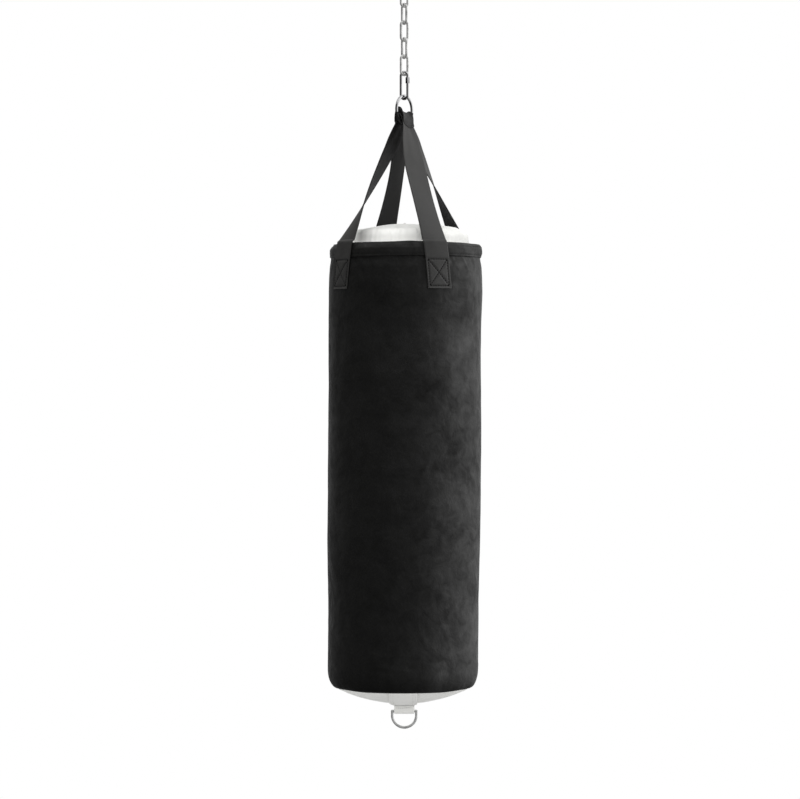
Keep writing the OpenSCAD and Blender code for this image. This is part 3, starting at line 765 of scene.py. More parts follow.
def build_crown():
    points = [Vector((lean(HEM_TOP), 0, CROWN_Z))]
    for r, z in crown_profile():
        edge = rises(r, 60, 45)
        held = smooth((FLANGE_R - 4 * MM - r) / (14 * MM))
        side = rises(r, 95, 10) * falls(r, 124, 14)
        filled = rises(r, 45, 45) * falls(r, 135, 20)
        flared = smooth((CROWN_Z - 10 * MM - z) / (22 * MM)) * clamp((GUTTER_R - r) / (GUTTER_R - CROWN_R))

        def place(angle):
            x, y = r * math.cos(angle), r * math.sin(angle)
            by_zip = y > 0 and abs(x) < 78 * MM
            calm = smooth((abs(y - ZIP_BACK) - 16 * MM) / (14 * MM)) if by_zip else 1.0
            pleat = pucker(angle, r * 0.2, 0.017, 41.0, 2.2)
            wide = noise.noise(Vector((x, y, 0.4)) * 26)
            lift = (1.5 * MM * pleat * edge * held + 0.8 * MM * wide * (1 - 0.5 * edge)) * calm
            out = 0.7 * MM * pleat * side + DOME_FILL * near_azimuth(angle, -78, 42) * filled
            out += DOME_FLARE * near_azimuth(angle, 100, 55) * flared
            grown = (r + out - (hem_curl(angle, z) if r > FLANGE_R - 1 * MM else 0.0)) / r
            shift = lean(HEM_TOP) * smooth(r / (90 * MM))
            return Vector((x * grown + shift, y * grown, z + lift + puff(x, y) * held))

        points += ring_of(AROUND, place)
    build_panel("top_panel_canvas", "top_panel", points)


build_crown()

# ---- White bottom panel ----
BASE_Z = base_lo.z
BASE_EDGE_R = (base_hi.x - base_lo.x) / 2
BASE_CORNER_W, BASE_CORNER_H = 8 * MM, 5 * MM
BASE_CAP_R = BASE_EDGE_R - BASE_CORNER_W
BASE_SAG = RIM_Z - BASE_CORNER_H - BASE_Z
BASE_SPHERE = (BASE_CAP_R ** 2 + BASE_SAG ** 2) / (2 * BASE_SAG)


def base_height(r):
    """Level of the bottom panel: a shallow sphere, then a small round corner up to the rim."""
    if r <= BASE_CAP_R:
        return BASE_Z + BASE_SPHERE - math.sqrt(BASE_SPHERE ** 2 - r * r)
    s = min(1, (r - BASE_CAP_R) / BASE_CORNER_W)
    rise = BASE_CORNER_W * BASE_CAP_R / BASE_SPHERE
    return RIM_Z - BASE_CORNER_H * math.sqrt(1 - s * s) + rise * s * (1 - s)


def base_shift(r):
    """Sideways lean of the bottom panel, which fades towards its middle."""
    return lean(RIM_Z) * smooth(abs(r) / (90 * MM))


def base_point(r, angle):
    """A point on the bottom panel's lower face."""
    x, y = r * math.cos(angle), r * math.sin(angle)
    edge = rises(r, 70, 50)
    calm = smooth(max(abs(x) - 32 * MM, abs(y) - 68 * MM) / (10 * MM))
    wide = noise.noise(Vector((x, y, 0.9)) * 22)
    lift = 1.3 * MM * pucker(angle, r * 0.25, 0.020, 51.0, 2.3) * edge + 0.9 * MM * wide * (1 - 0.6 * edge)
    return Vector((x + base_shift(r), y, base_height(r) - lift * calm))


def build_base():
    radii = [BASE_CAP_R * i / 22 for i in range(1, 23)]
    radii += [BASE_CAP_R + BASE_CORNER_W * math.sin(math.radians(a)) for a in spaced(8, 90, 12)]
    points = [base_point(0, 0)]
    for r in radii:
        points += ring_of(AROUND, lambda a: base_point(r, a))
    for up in (4 * MM, 9 * MM):
        points += [Vector((p.x, p.y, RIM_Z + up)) for p in points[-AROUND:]]
    build_panel("bottom_panel_canvas", "bottom_panel", points, down=True)


build_base()


# ---- Textile core: packed round the sand bags between the two white panels ----
def build_core():
    profile = []
    for share in (0.05, 0.2, 0.4, 0.55, 0.7, 0.8, 0.88, 0.94, 0.98):
        r = share * (CROWN_R - 6 * MM)
        fall = CROWN_CORNER_H * (1 - math.sqrt(1 - smooth((share - 0.7) / 0.3) ** 2))
        profile.append((r, crown_height(min(r, CROWN_R - CROWN_CORNER_W)) - 7 * MM - fall))
    profile += [(CORE_R - 8 * MM, GUTTER_Z - 7 * MM), (CORE_R - 1 * MM, GUTTER_Z - 16 * MM)]
    profile += [(CORE_R - 0.6 * MM, z) for z in spaced(GUTTER_Z - 40 * MM, RIM_Z + CORNER_H, 14)]
    floor_r = min(CORE_R, BASE_EDGE_R)
    profile += [(floor_r * s - 1.2 * MM, base_height(floor_r * s) + 6 * MM)
                for s in (0.97, 0.9, 0.75, 0.6, 0.4, 0.2, 0.05)]

    def place(r, angle, z):
        lump = 1.0 * MM * noise.noise(heading(angle) * 3 + Vector((0, 0, z * 30)))
        return bag_point(r - abs(lump), angle, z)

    core = Tubes()
    core.add([ring_of(HIDDEN_AROUND, lambda a: place(r, a, z)) for r, z in profile])
    for name in ("sand_bag_upper", "sand_bag_middle", "sand_bag_lower"):
        lo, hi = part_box(name)
        r = (hi.x - lo.x) / 2 + 0.5 * MM
        core.add([ring_of(HIDDEN_AROUND, lambda a: heading(a) * r + Vector((0, 0, z)))
                  for z in (hi.z + 0.5 * MM, lo.z - 0.5 * MM)], flip=True)
    core.build("textile_core", "bag", fill_material, "textile_fill", ["fill_core"])


build_core()

# ---- Band under the bottom panel, and the loop that holds the D-ring ----
BAND_W, BAND_T, BAND_GAP = 58 * MM, 2.6 * MM, 0.5 * MM
BAND_SEAM = 260 * MM
LOOP_W, LOOP_T = 41 * MM, 2.6 * MM
BAR_R = 2.75 * MM
BAR_Z = bar_hi.z - BAR_R
LOOP_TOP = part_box("bottom_loop")[1].z


def band_centre(s):
    """Where the band touches the bottom panel, s from -1 to 1 across it: (y, z, outward direction)."""
    sign = 1 if s >= 0 else -1
    t = abs(s)
    flat = BASE_CAP_R / (BASE_CAP_R + BASE_CORNER_W * 1.25)
    if t <= flat:
        r = BASE_CAP_R * t / flat
        slope = math.asin(min(1, r / BASE_SPHERE))
    else:
        a = (t - flat) / (1 - flat) * math.radians(86)
        r = BASE_CAP_R + BASE_CORNER_W * math.sin(a)
        corner = math.atan2(BASE_CORNER_H * math.sin(a), BASE_CORNER_W * math.cos(a))
        slope = max(math.asin(BASE_CAP_R / BASE_SPHERE), corner)
    return sign * r, base_height(r), Vector((0, sign * math.sin(slope), -math.cos(slope)))


def strip_mesh(name, stations, width, thickness):
    """A closed band across X with thinned edges, from (middle point, outward normal, width scale) stations.
    Its UV runs in metres: across, then along."""
    rows, uvs, along = [], [], 0.0
    for i, (middle, out, scale) in enumerate(stations):
        along += (middle - stations[max(i - 1, 0)][0]).length

        def place(t, outer):
            uvs.append((t / 2 * width, along))
            soft = 1 - max(0, abs(t) - 0.93) / 0.07 * 0.5
            return middle + ACROSS * (t * width * scale / 2) + out * ((outer - 0.5) * thickness * soft)

        rows.append(tape_row(12, place))
    cols = len(rows[0])
    faces = grid_faces(len(rows), cols) + flipped(end_quads(len(rows), cols))
    return make_mesh(name, flatten(rows), faces, uvs)


def band_scale(s):
    """Width of the band as a share of its full width: it narrows towards the loop."""
    return 1 - 0.2 * (1 - smooth(abs(s) / 0.6))


def build_band():
    stations = []
    for s in spaced(-1, 1, 90):
        y, z, out = band_centre(s)
        sag = 0.35 * MM * noise.noise(Vector((0, y * 40, 3.3)))
        middle = Vector((base_shift(y), y, z)) + out * (BAND_T / 2 + BAND_GAP + sag)
        middle.z = min(middle.z, RIM_Z - 0.8 * MM)
        stations.append((middle, out, band_scale(s)))
    band = strip_mesh("bottom_band_webbing", stations, BAND_W, BAND_T)
    finish_piece(band, "bag", white_webbing, ["bottom_patch"])
    threads = Threads()
    for side in (-1, 1):
        for inset in (4 * MM, 9 * MM):
            def place(s):
                t = s / BAND_SEAM * 2 - 1
                y, z, out = band_centre(t)
                x = base_shift(y) + side * (BAND_W / 2 * band_scale(t) - inset)
                return Vector((x, y, z)) + out * (BAND_T + BAND_GAP), out

            threads.run(place, BAND_SEAM)
    threads.build("bottom_band_stitches", "bag", white_thread, "white_webbing")


build_band()


def build_loop():
    """Webbing that comes down from the band, goes round the D-ring's bar and back up, sewn above the bar."""
    r = BAR_R + 0.4 * MM + LOOP_T / 2
    top = LOOP_TOP - LOOP_T / 2
    half = [(y, top) for y in spaced(-20 * MM, -r - 1.5 * MM, 8)] + [(-r - 0.3 * MM, top - 1.2 * MM)]
    half += [(-r - 0.35 * MM * math.sin((top - z) * 240), z) for z in spaced(top - 3 * MM, BAR_Z + 1 * MM, 8)]
    path = half + [(r * math.cos(a), BAR_Z + r * math.sin(a)) for a in map(math.radians, spaced(180, 360, 17))]
    path += [(-y, z) for y, z in reversed(half)]
    path = [(y, z + 0.15 * MM * math.sin(y * 900) if z == top else z) for y, z in path]
    stations = []
    for i, (y, z) in enumerate(path):
        (y0, z0), (y1, z1) = path[max(i - 1, 0)], path[min(i + 1, len(path) - 1)]
        stations.append((Vector((0, y, z)), Vector((0, z0 - z1, y1 - y0)).normalized(), 1.0))
    loop = strip_mesh("bottom_loop_webbing", stations, LOOP_W, LOOP_T)
    finish_piece(loop, "bag", white_webbing, ["bottom_loop"])
    threads = Threads(length=3.0 * MM, gap=1.0 * MM)
    for z in (BAR_Z + 8.0 * MM, BAR_Z + 5.2 * MM):
        def place(s):
            return Vector((s - LOOP_W / 2 + 3 * MM, -r - LOOP_T / 2 - 0.2 * MM, z)), Vector((0, -1, 0))

        threads.run(place, LOOP_W - 6 * MM)
    threads.build("bottom_loop_stitches", "bag", white_thread, "white_webbing")


build_loop()

# ---- Straps: one length of webbing each, from foot to foot over the ring's wire ----
GATHERED_W, GATHERED_T, GATHERED_RISE = 37 * MM, 2.0 * MM, 9.4 * MM
CREST_ROOM = 0.9 * MM
LOWER_IN = RING_WIRE / 2 + 2.7 * MM
UPPER_IN = LOWER_IN + GATHERED_T + 0.3 * MM
CREST_IN = LOWER_IN + CREST_ROOM + GATHERED_RISE + 0.3 * MM
CREST_Z = RING_LOW + RING_WIRE / 2 + 0.4 * MM - LOWER_IN
CREASE_Z = RING_LOW - RING_WIRE / 2 - 2 * MM
TROUGH_R = RING_R - RING_WIRE / 2 - 1.2 * MM
CREST_BULGE = 1.3 * MM
NEAR_SHIFT = 1.2 * MM
NEAR_PINCH = 0.2 * MM
FAR_SAG = 5.2 * MM
# Places along a leg, from 0 under the ring to 1 at the hem
SPREAD_BY, RING_REACH, TWIST_SOON, TIP_FROM = 0.15, 0.2, 0.35, 0.97
BOW_PEAK, TIP_LEAN = 0.72, 0.9
# Shares of the webbing's width: its thin edge, and the bead beside it
EDGE_FROM, EDGE_WIDTH, BEAD_AT, BEAD_WIDTH, BEAD_HEIGHT = 0.455, 0.045, 0.445, 0.02, 0.10
SEAM_DEPTH, SEAM_WIDTH = 1.3 * MM, 1.9 * MM
THIN_AT_BEND = 0.35
LEG_BOW = {"front": -4.5 * MM, "back": 7.0 * MM}
FOOT_R = HEM_R + FOOT_GAP + STRAP_T / 2
RIM_R = FOOT_R - 4.5 * MM
BEND_Z = HEM_TOP + 3 * MM
FOOT_BEND = 0.07
FOOT_STRAIGHT = BEND_Z - (FOOT_R - RIM_R)
FOOT_SPAN = FOOT_STRAIGHT - FOOT_LOW
ring_along = heading(RING_YAW)
ring_out = heading(RING_YAW - math.pi / 2)


def trough(w):
    """How far the ring's curve lifts the webbing at w along its wire."""
    return TROUGH_R - math.sqrt(TROUGH_R ** 2 - w * w)


def gathered(share):
    """Place along the ring's wire: the webbing lies a little towards its near edge."""
    return share * GATHERED_W - NEAR_SHIFT


def pinch(share):
    """How much the gathered webbing narrows towards its near edge."""
    return NEAR_PINCH * (0.5 - share)


def crest_frame(share, turn, a, b, rise):
    """A point over the ring's wire; rise is 0 at the inner face and 1 at the outer. a and b are the inner
    face's reach sideways and upwards, and turn runs from 0 at one leg to pi at the other."""
    w = gathered(share)
    outer_strap = b > a + 2 * MM
    a_full = a + GATHERED_T * rise - pinch(share)
    b_full = b + GATHERED_RISE * rise - FAR_SAG * smooth(share / 0.5) * (1 if outer_strap else rise)
    bulge = CREST_BULGE * math.sin(2 * turn) if outer_strap else 0.0
    return (ring_out * (a_full * math.cos(turn) + bulge) + ring_along * w
            + Vector((0, 0, CREST_Z + b_full * math.sin(turn) + trough(w))))


def leg_frame(share, face, q, side, foot, a_in, late, early):
    """A point on a leg, q from 0 under the ring to 1 at the hem. late is the power of the leg's twist,
    and early the share of it that comes soon below the ring."""
    bow = Vector((LEG_BOW.get(foot, 0.0) * math.sin(math.pi * q) * math.sqrt(1 - q) / BOW_PEAK, 0, 0))
    below_ring = 1 - smooth(q / RING_REACH)
    spread = smooth(q / SPREAD_BY)
    middle = a_in + GATHERED_T / 2 - pinch(share) * below_ring
    top = ring_out * (side * middle) + Vector((0, 0, CREASE_Z))
    end = heading(foot_angle(foot, 0)) * RIM_R + Vector((lean(HEM_TOP), 0, BEND_Z))
    yaw_end = foot_angle(foot, 0) + math.pi / 2 * side
    yaw = mix(RING_YAW, yaw_end, early * smooth(q / TWIST_SOON) + (1 - early) * q ** late)
    thick = mix(GATHERED_T, STRAP_T, spread)
    w = share * mix(GATHERED_W, STRAP_W, spread) - NEAR_SHIFT * (1 - spread)
    # near its lower end the leg takes on the hem's curve and leans back for the bend
    hug = smooth(q * 2 - 0.9)
    around = w / FOOT_R
    along = mix(w, FOOT_R * math.sin(around), hug)
    inward = hug * FOOT_R * (1 - math.cos(around))
    out = heading(yaw - math.pi / 2) * side
    faced = (out + Vector((0, 0, TIP_LEAN * smooth((q - TIP_FROM) / (1 - TIP_FROM))))).normalized()
    middle = top.lerp(end, q) + bow + Vector((0, 0, trough(gathered(share)) * below_ring))
    return middle + heading(yaw) * along + faced * (face * thick / 2) - out * inward


def foot_frame(share, face, q, side, foot):
    """Round the hem's edge while q is under FOOT_BEND, then straight down the bag's side."""
    turned = math.pi / 2 * smooth(q / FOOT_BEND)
    drop = max(0.0, q - FOOT_BEND) / (1 - FOOT_BEND)
    bend = FOOT_R - RIM_R
    half = face * STRAP_T / 2
    r = RIM_R + bend * math.sin(turned) + drop * FOOT_SPREAD + half * max(THIN_AT_BEND, math.sin(turned))
    z = BEND_Z - bend * (1 - math.cos(turned)) - drop * FOOT_SPAN + half * math.cos(turned)
    return bag_point(r, foot_angle(foot, drop) + side * share * STRAP_W / FOOT_R, z)


def foot_level(depth):
    """Position along a foot at a depth below the hem's top edge."""
    return FOOT_BEND + (1 - FOOT_BEND) * (FOOT_STRAIGHT - HEM_TOP + depth) / FOOT_SPAN


def foot_depth(q):
    """The reverse of foot_level."""
    return (q - FOOT_BEND) / (1 - FOOT_BEND) * FOOT_SPAN - (FOOT_STRAIGHT - HEM_TOP)


SEWN_HALF, SEWN_HIGH, SEWN_LOW = STRAP_W / 2 - 5 * MM, 36 * MM, FOOT_LENGTH - 5 * MM
SEWN_BOX = [(-SEWN_HALF, SEWN_LOW), (SEWN_HALF, SEWN_LOW), (SEWN_HALF, SEWN_HIGH), (-SEWN_HALF, SEWN_HIGH)]
FOOT_SEAMS = [(SEWN_BOX[i], SEWN_BOX[j]) for i, j in ((0, 1), (1, 2), (2, 3), (3, 0), (0, 2), (1, 3))]


def stitch_distance(u, v):
    """Distance from a point on a foot (across, depth) to the nearest seam."""
    return min(to_segment(u - u0, v - v0, u1 - u0, v1 - v0)[1] for (u0, v0), (u1, v1) in FOOT_SEAMS)


class Strap:
    """The webbing's two faces as functions of (share across, position along)."""

    def __init__(self, name, a_in, b_in, folds, out, back):
        """a_in and b_in: the inner face's reach sideways and upwards at the ring. folds: gathers across the
        webbing. out and back: (foot, power of the twist, early share of it)"""
        self.name, self.a_in, self.b_in, self.folds = name, a_in, b_in, folds
        self.sides = {1: out, -1: back}

    def faces_at(self, share, part, q, side):
        """The outer and the inner face's point."""
        foot, late, early = self.sides[side]
        if part == "crest":
            return [crest_frame(share, math.pi * q, self.a_in, self.b_in, rise) for rise in (1, 0)]
        if part == "foot":
            return [foot_frame(share, face, q, side, foot) for face in (1, -1)]
        return [leg_frame(share, face, q, side, foot, self.a_in, late, early) for face in (1, -1)]

    def stations(self):
        feet, legs, crest = by_detail((60, 110, 40))
        out = [("foot", 1 - i / feet, 1) for i in range(feet)]
        out += [("leg", 1 - i / legs, 1) for i in range(legs)]
        out += [("crest", i / crest, 1) for i in range(crest + 1)]
        out += [("leg", (i + 1) / legs, -1) for i in range(legs)]
        out += [("foot", (i + 1) / feet, -1) for i in range(feet)]
        return out

    def ripple(self, share, part, q, side):
        """Height of the webbing's own waves: gathers near the ring that fade down the leg, and sunk seams."""
        if part == "foot":
            sewn = stitch_distance(share * STRAP_W, foot_depth(q))
            return 0.5 * MM * noise.noise(Vector((share * 3, q * 4, side))) - SEAM_DEPTH * bell(sewn, SEAM_WIDTH)
        if part == "crest":
            return 0.3 * MM * math.cos(share * TAU * self.folds + 0.6)
        gather = math.cos(share * side * TAU * self.folds + 0.6) * (1 - smooth(q / 0.42))
        roll = noise.noise(Vector((share * 2.2, q * 4 + side, self.folds))) * smooth((1 - q) * 5)
        return 0.5 * MM * (gather + roll)

    def surface(self, share, lift, part, q, side=1):
        """A point on the outer face plus lift, and the outward normal there."""
        a, b = self.faces_at(share, part, q, side)
        out = (a - b).normalized()
        return a + out * (lift + self.ripple(share, part, q, side)), out

    def row_at(self, shares, part, q, side):
        """One cross-section with thinned edges and a bead beside them: the inner face, then back over the outer."""
        inner, outer = [], []
        for share in shares:
            a, b = self.faces_at(share, part, q, side)
            edge = max(0.0, (abs(share) - EDGE_FROM) / EDGE_WIDTH)
            bead = 1 + BEAD_HEIGHT * bell(abs(share) - BEAD_AT, BEAD_WIDTH)
            half = (a - b) / 2 * (math.sqrt(max(0.0, 1 - edge * edge * 0.9)) * bead)
            mid = (a + b) / 2 + half.normalized() * self.ripple(share, part, q, side)
            outer.append(mid + half * 0.98)
            inner.append(mid - half * 0.98)
        return inner + outer[::-1]

    def build(self, node):
        across = by_detail(36)
        shares = [k / across - 0.5 for k in range(across + 1)]
        rows, uvs, along = [], [], 0.0
        for part, q, side in self.stations():
            rows.append(self.row_at(shares, part, q, side))
            middles = [sum(row, Vector()) / len(row) for row in rows[-2:]]
            along += (middles[-1] - middles[0]).length
            spread = {"foot": 1.0, "leg": smooth(q / SPREAD_BY), "crest": 0.0}[part]
            width = mix(GATHERED_W, STRAP_W, spread)
            uvs += [(share * width, along) for share in shares + shares[::-1]]
        cols = len(rows[0])
        sides = flipped(grid_faces(len(rows), cols))
        strap = make_mesh(self.name, flatten(rows), sides + end_quads(len(rows), cols), uvs)
        finish_piece(strap, "bag", black_webbing, [node])
        # The inner face and both side faces take the darker copy: painted shade for the dark inner faces and the
        # shadow line beside each strap
        strap.data.materials.append(painted_shade_webbing)
        for i, face in enumerate(strap.data.polygons):
            if i < len(sides) and (i % cols <= across or i % cols == cols - 1):
                face.material_index = 1


def foot_stitches(strap, threads):
    """A sewn box with a cross over each foot."""
    for side in (1, -1):
        for (u0, v0), (u1, v1) in FOOT_SEAMS:
            length = math.hypot(u1 - u0, v1 - v0)

            def place(s):
                u, v = mix(u0, u1, s / length), mix(v0, v1, s / length)
                return strap.surface(u / STRAP_W, 0.1 * MM, "foot", foot_level(v), side)

            threads.run(place, length)


straps = {
    "strap_front_to_back": Strap("strap_webbing_front_to_back", UPPER_IN, CREST_IN, 2.0,
                                 ("front", 8, 0.5), ("back", 3.7, 0)),
    "strap_side_to_side": Strap("strap_webbing_side_to_side", LOWER_IN, LOWER_IN + CREST_ROOM, 1.5,
                                ("right", 1.25, 0), ("left", 1.9, 0)),
}
foot_threads = Threads(radius=0.75 * MM, length=4.4 * MM, gap=0.7 * MM)
for node, strap in straps.items():
    strap.build(node)
    foot_stitches(strap, foot_threads)
foot_threads.build("strap_foot_stitches", "bag", black_thread, "black_webbing")


# ---- Thin near-black wrap over the outer strap where it crosses the ring: painted shade on the shaded band there ----
def build_ring_shade_wrap(strap):
    """Its lower edges slope: low at the strap's far edge and higher at the near one."""
    across, over = by_detail((30, 36))
    top = CREST_IN + GATHERED_RISE

    def place(share, depth, side, lift):
        """depth is counted down from the level where the crest springs from the legs"""
        if depth < 0:
            turn = math.asin(min(1, -depth / top)) / math.pi
            return strap.surface(share, lift, "crest", turn if side > 0 else 1 - turn)[0]
        q = max(0.0, (depth - (CREST_Z - CREASE_Z)) / (CREASE_Z - BEND_Z))
        return strap.surface(share, lift, "leg", q, side)[0]

    def row(i, lift):
        side, t = 1 if i < over else -1, abs(i - over) / over
        lows = [mix(0.5 * MM, 9 * MM, k / across) + 0.4 * MM * math.sin(k * 0.9) for k in range(across + 1)]
        return [place(k / across - 0.5, mix(-top, low, 1 - (1 - t) ** 1.7), side, lift)
                for k, low in enumerate(lows)]

    rows = [row(i, 1.15 * MM) + row(i, 0.1 * MM)[::-1] for i in range(2 * over + 1)]
    cols = len(rows[0])
    faces = flipped(grid_faces(len(rows), cols) + end_quads(len(rows), cols))
    # painted shade: the near-black wrap darkens the band over the crest
    finish_piece(make_mesh("strap_ring_painted_shade_wrap", flatten(rows), faces), "bag", painted_shade_fabric, [])


def build_ring_shade_tape():
    """A black sheath with wound ridges round the lower half of the ring's wire, where the straps bear on it: painted
    shade for the wire lying dark there.
    """
    turns, sides, reach = 24, 14, 80
    steps = by_detail(420)
    rows = []
    for i in range(steps + 1):
        t = i / steps
        around = math.radians(mix(-reach, reach, t))
        toward = ring_along * math.sin(around) - Vector((0, 0, math.cos(around)))
        middle = Vector((0, 0, RING_LOW + RING_R)) + toward * RING_R
        thin = 0.1 * MM if i in (0, steps) else 0.0

        def place(a):
            ridge = (t * turns + a / TAU) % 1.0
            r = RING_WIRE / 2 + (0.12 + 0.16 * smooth(ridge * 4) * (1 - 0.5 * ridge)) * MM - thin
            return middle + (toward * math.cos(a) + ring_out * math.sin(a)) * r

        rows.append(ring_of(sides, place))
    tape = Tubes()
    tape.add(rows)
    # painted shade: the black sheath darkens the wire where it lies in shade
    tape.build("ring_shade_tape", "ring", painted_shade_fabric, "black_webbing")


build_ring_shade_wrap(straps["strap_front_to_back"])
build_ring_shade_tape()

# ---- Seam strip down the back ----
SEAM_AZ, SEAM_W, SEAM_OUT, SEAM_IN = 165.0, 24 * MM, 1.35 * MM, 0.2 * MM


def build_seam_strip():
    seam_lo, seam_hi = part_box("seam_strip")
    middle = front_angle(SEAM_AZ)
    rows = []
    for z in spaced(seam_hi.z - 1 * MM, seam_lo.z + 1 * MM, by_detail(240)):
        wavy = 0.25 * MM * wave(middle, z, 0.05, 61.0)

        def place(t, outer):
            edge = 1 - 0.6 * max(0, abs(t) - 0.92) / 0.08
            lift = SEAM_OUT * edge - 0.35 * MM * bell(abs(t) - 0.80, 0.1) + wavy if outer else SEAM_IN * edge
            return on_bag(middle + t * (SEAM_W + 0.5 * wavy) / 2 / HEM_R, z, lift)

        rows.append(tape_row(16, place))
    strip = Tubes()
    strip.add(rows, flip=True)
    strip.build("back_seam_strip", "bag", seam_material, "shell_fabric", ["seam_strip"])
    threads = Threads(radius=0.4 * MM)
    for side in (-1, 1):
        angle = middle + side * 0.8 * SEAM_W / 2 / HEM_R
        threads.run(lambda s: (on_bag(angle, seam_hi.z - 3 * MM - s, SEAM_OUT - 0.2 * MM), heading(angle)),
                    seam_hi.z - seam_lo.z - 6 * MM)
    threads.build("back_seam_stitches", "bag", black_thread, "shell_fabric")


build_seam_strip()

# ---- Zip: tape and a coil of moulded teeth on the crown's sphere ----
ZIP_SPHERE_Z = CROWN_Z - CROWN_SPHERE
ZIP_PLANE_R = math.sqrt(CROWN_SPHERE ** 2 - ZIP_BACK ** 2)
ZIP_LEAN = math.asin(ZIP_BACK / CROWN_SPHERE)
ZIP_LENGTH, TAPE_W, TAPE_T = 130 * MM, 30 * MM, 1 * MM
ZIP_MARGIN = 3 * MM
COIL_W, COIL_PITCH, WIRE_R = 6 * MM, 1.5 * MM, 0.42 * MM
TOOTH_R = 0.55 * MM


def zip_point(s, across, lift):
    """s along the zip, across it, and lift above the crown's sphere"""
    tilt = s / ZIP_PLANE_R
    lean_by = ZIP_LEAN + across / CROWN_SPHERE
    r = CROWN_SPHERE + lift
    ring_r = r * math.cos(lean_by)
    return Vector((ring_r * math.sin(tilt), r * math.sin(lean_by), ZIP_SPHERE_Z + ring_r * math.cos(tilt)))


def build_zip():
    rows = []
    for i in range(91):
        s = (i / 90 - 0.5) * (ZIP_LENGTH - 0.6 * MM)

        def place(t, outer):
            lift = 0.15 * MM
            if outer:
                lift += (TAPE_T - 0.35 * MM) * (1 - 0.5 * max(0, abs(t) - 0.94) / 0.06)
                lift += 0.12 * MM * math.cos(t * 40) + 0.22 * MM * noise.noise(Vector((s * 60, t, 8)))
            return zip_point(s, t * TAPE_W / 2, lift)

        rows.append(tape_row(22, place))
    tape = Tubes()
    tape.add(rows)
    tape.build("zip_tape_woven", "bag", zip_tape_material, "zip_tape", ["zip_tape"])

    coil = Tubes()
    count = int((ZIP_LENGTH - 2 * ZIP_MARGIN) / COIL_PITCH)
    for i in range(count):
        s = (i - (count - 1) / 2) * COIL_PITCH
        hand = 1 if i % 2 else -1
        tooth = []
        for t in (k / 9 for k in range(10)):
            across = hand * (COIL_W / 2 - 0.5 * MM - t * (COIL_W / 2 + 0.5 * MM))
            height = TAPE_T + 0.45 * MM + 0.55 * MM * math.sin(math.pi * min(1, t * 1.25))
            centre = zip_point(s + 0.1 * MM * math.sin(t * 5), across, height)
            up = (zip_point(s, across, height + 1 * MM) - centre).normalized()
            r = WIRE_R if t < 0.75 else TOOTH_R
            tooth.append(circle(centre, ACROSS * r, up * (r * 0.8), 6))
        coil.add(tooth)
    coil.build("zip_coil_teeth", "bag", zip_teeth_material, "zip_coil", ["zip_coil"])

    threads = Threads(radius=0.38 * MM)
    for side in (-1, 1):
        for inset in (2.2 * MM, 5 * MM):
            def place(s):
                along, across = s - ZIP_LENGTH / 2 + ZIP_MARGIN, side * (TAPE_W / 2 - inset)
                point = zip_point(along, across, TAPE_T - 0.2 * MM)
                return point, (zip_point(along, across, TAPE_T + 1 * MM) - point).normalized()

            threads.run(place, ZIP_LENGTH - 2 * ZIP_MARGIN)
    threads.build("zip_stitches", "bag", black_thread, "zip_tape")


build_zip()


# ---- Floor, world and lamps ----
def emptied(owner):
    """The nodes of a new material or world, all removed, and its kinds of ray."""
    owner.use_nodes = True
    owner.node_tree.nodes.clear()
    tree = Nodes(owner.node_tree)
    rays = owner.node_tree.nodes.new("ShaderNodeLightPath").outputs
    straight = tree.math("MAXIMUM", rays["Is Camera Ray"], rays["Is Transmission Ray"])
    return tree, straight, rays["Is Glossy Ray"]


# The floor glows for camera, glossy and transmission rays, and is a mid grey to matt surfaces
FLOOR_DROP, FLOOR_HALF, FLOOR_GLOW = 0.75, 1.55, 0.62
FLOOR_Z = bar_lo.z - FLOOR_DROP
corners = [Vector((x * FLOOR_HALF, y * FLOOR_HALF, FLOOR_Z)) for x, y in ((-1, -1), (1, -1), (1, 1), (-1, 1))]
floor = make_mesh("floor", corners, [(0, 1, 2, 3)])
floor_material = bpy.data.materials.new("floor_paint")
t, straight, glossy = emptied(floor_material)
paint = t.add("ShaderNodeBsdfDiffuse", {"Color": (0.5, 0.5, 0.5, 1)})
strength = t.math("MULTIPLY", t.math("MAXIMUM", straight, glossy), FLOOR_GLOW)
glow = t.add("ShaderNodeEmission", {"Color": (1, 1, 1, 1), "Strength": strength})
t.add("ShaderNodeOutputMaterial", {"Surface": t.add("ShaderNodeAddShader", {0: paint, 1: glow})})
floor.data.materials.append(floor_material)
floor.visible_glossy = False

# The world is white to the camera and a soft grey to matt surfaces. Glossy ones see a studio of greys by azimuth
# from the front: darkest at the left and front, brightest at the right, lighter behind, and dim below
STUDIO = [(-180, 0.65), (-165, 0.58), (-148, 0.26), (-118, 0.11), (-90, 0.03), (-62, 0.01), (-39, 0.04),
          (-14, 0.08), (9, 0.20), (32, 0.28), (57, 0.66), (85, 1.42), (108, 1.25), (129, 0.98), (146, 0.80),
          (168, 0.72), (180, 0.65)]
OVERHEAD = (0.85, 0.85, 0.85, 1)
world = bpy.data.worlds.new("studio")
bpy.context.scene.world = world
t, straight, glossy = emptied(world)
axes = t.add("ShaderNodeSeparateXYZ", {0: t.add("ShaderNodeTexCoord", output="Generated")}).node.outputs
around = t.math("ARCTAN2", axes["X"], t.math("MULTIPLY", axes["Y"], -1.0))
studio = t.ramp(t.math("ADD", t.math("DIVIDE", around, TAU), 0.5), [(a / 360 + 0.5, grey) for a, grey in STUDIO])
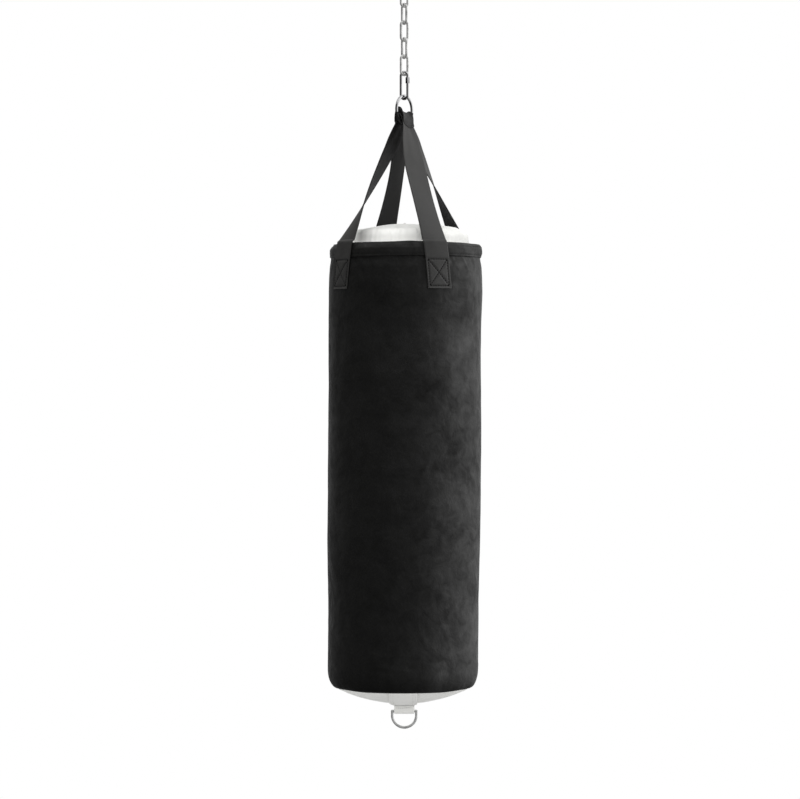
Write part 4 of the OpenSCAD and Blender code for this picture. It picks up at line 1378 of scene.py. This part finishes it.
height = t.math("ADD", t.math("MULTIPLY", axes["Z"], 0.5), 0.5)
lit = t.ramp(height, [(0.12, 0.15), (0.30, 0.3), (0.44, 1.0)])
studio = t.add("ShaderNodeMixRGB", {"Fac": 1.0, "Color1": studio, "Color2": lit}, blend_type="MULTIPLY")
overhead = t.ramp(axes["Z"], [(0.0, 0.0), (0.55, 0.0), (0.85, 1.0)])
studio = t.add("ShaderNodeMixRGB", {"Fac": overhead, "Color1": studio, "Color2": OVERHEAD})
gloss = t.add("ShaderNodeBackground", {"Color": studio, "Strength": 1.0})
sky = t.ramp(height, [(0.0, 0.54), (0.5, 0.84), (1.0, 0.96)])
ambient = t.add("ShaderNodeBackground", {"Color": sky, "Strength": 1.12})
background = t.add("ShaderNodeBackground", {"Color": (1, 1, 1, 1), "Strength": 1.0})
look = t.add("ShaderNodeMixShader", {0: glossy, 1: ambient, 2: gloss})
look = t.add("ShaderNodeMixShader", {0: straight, 1: look, 2: background})
t.add("ShaderNodeOutputWorld", {"Surface": look})


def area_light(name, azimuth, elevation, distance, target_z, power, width, height):
    """A softbox that looks at the bag's axis; azimuth counts from the front towards +X."""
    lamp = bpy.data.lights.new(name, "AREA")
    lamp.shape = "RECTANGLE"
    lamp.size, lamp.size_y = width, height
    lamp.energy = power
    obj = add_object(name, lamp)
    a, e = front_angle(azimuth), math.radians(elevation)
    target = Vector((0, 0, target_z))
    obj.location = target + (heading(a) * math.cos(e) + Vector((0, 0, math.sin(e)))) * distance
    obj.rotation_euler = (target - obj.location).to_track_quat("-Z", "Y").to_euler()
    obj.visible_glossy = False


area_light("key_softbox", 78, 22, 3.2, -1.0, 14.5, 1.2, 2.2)
area_light("front_softbox", -2, 24, 3.2, -0.6, 22, 1.8, 1.8)
area_light("right_strip", 105, 5, 2.6, -1.0, 11, 0.5, 2.4)
area_light("left_fill", -88, 28, 3.4, -0.8, 28, 2.0, 2.2)
area_light("top_softbox", -20, 62, 3.2, -0.6, 9, 1.4, 1.4)

view = bpy.context.scene.view_settings
view.view_transform = "Standard"
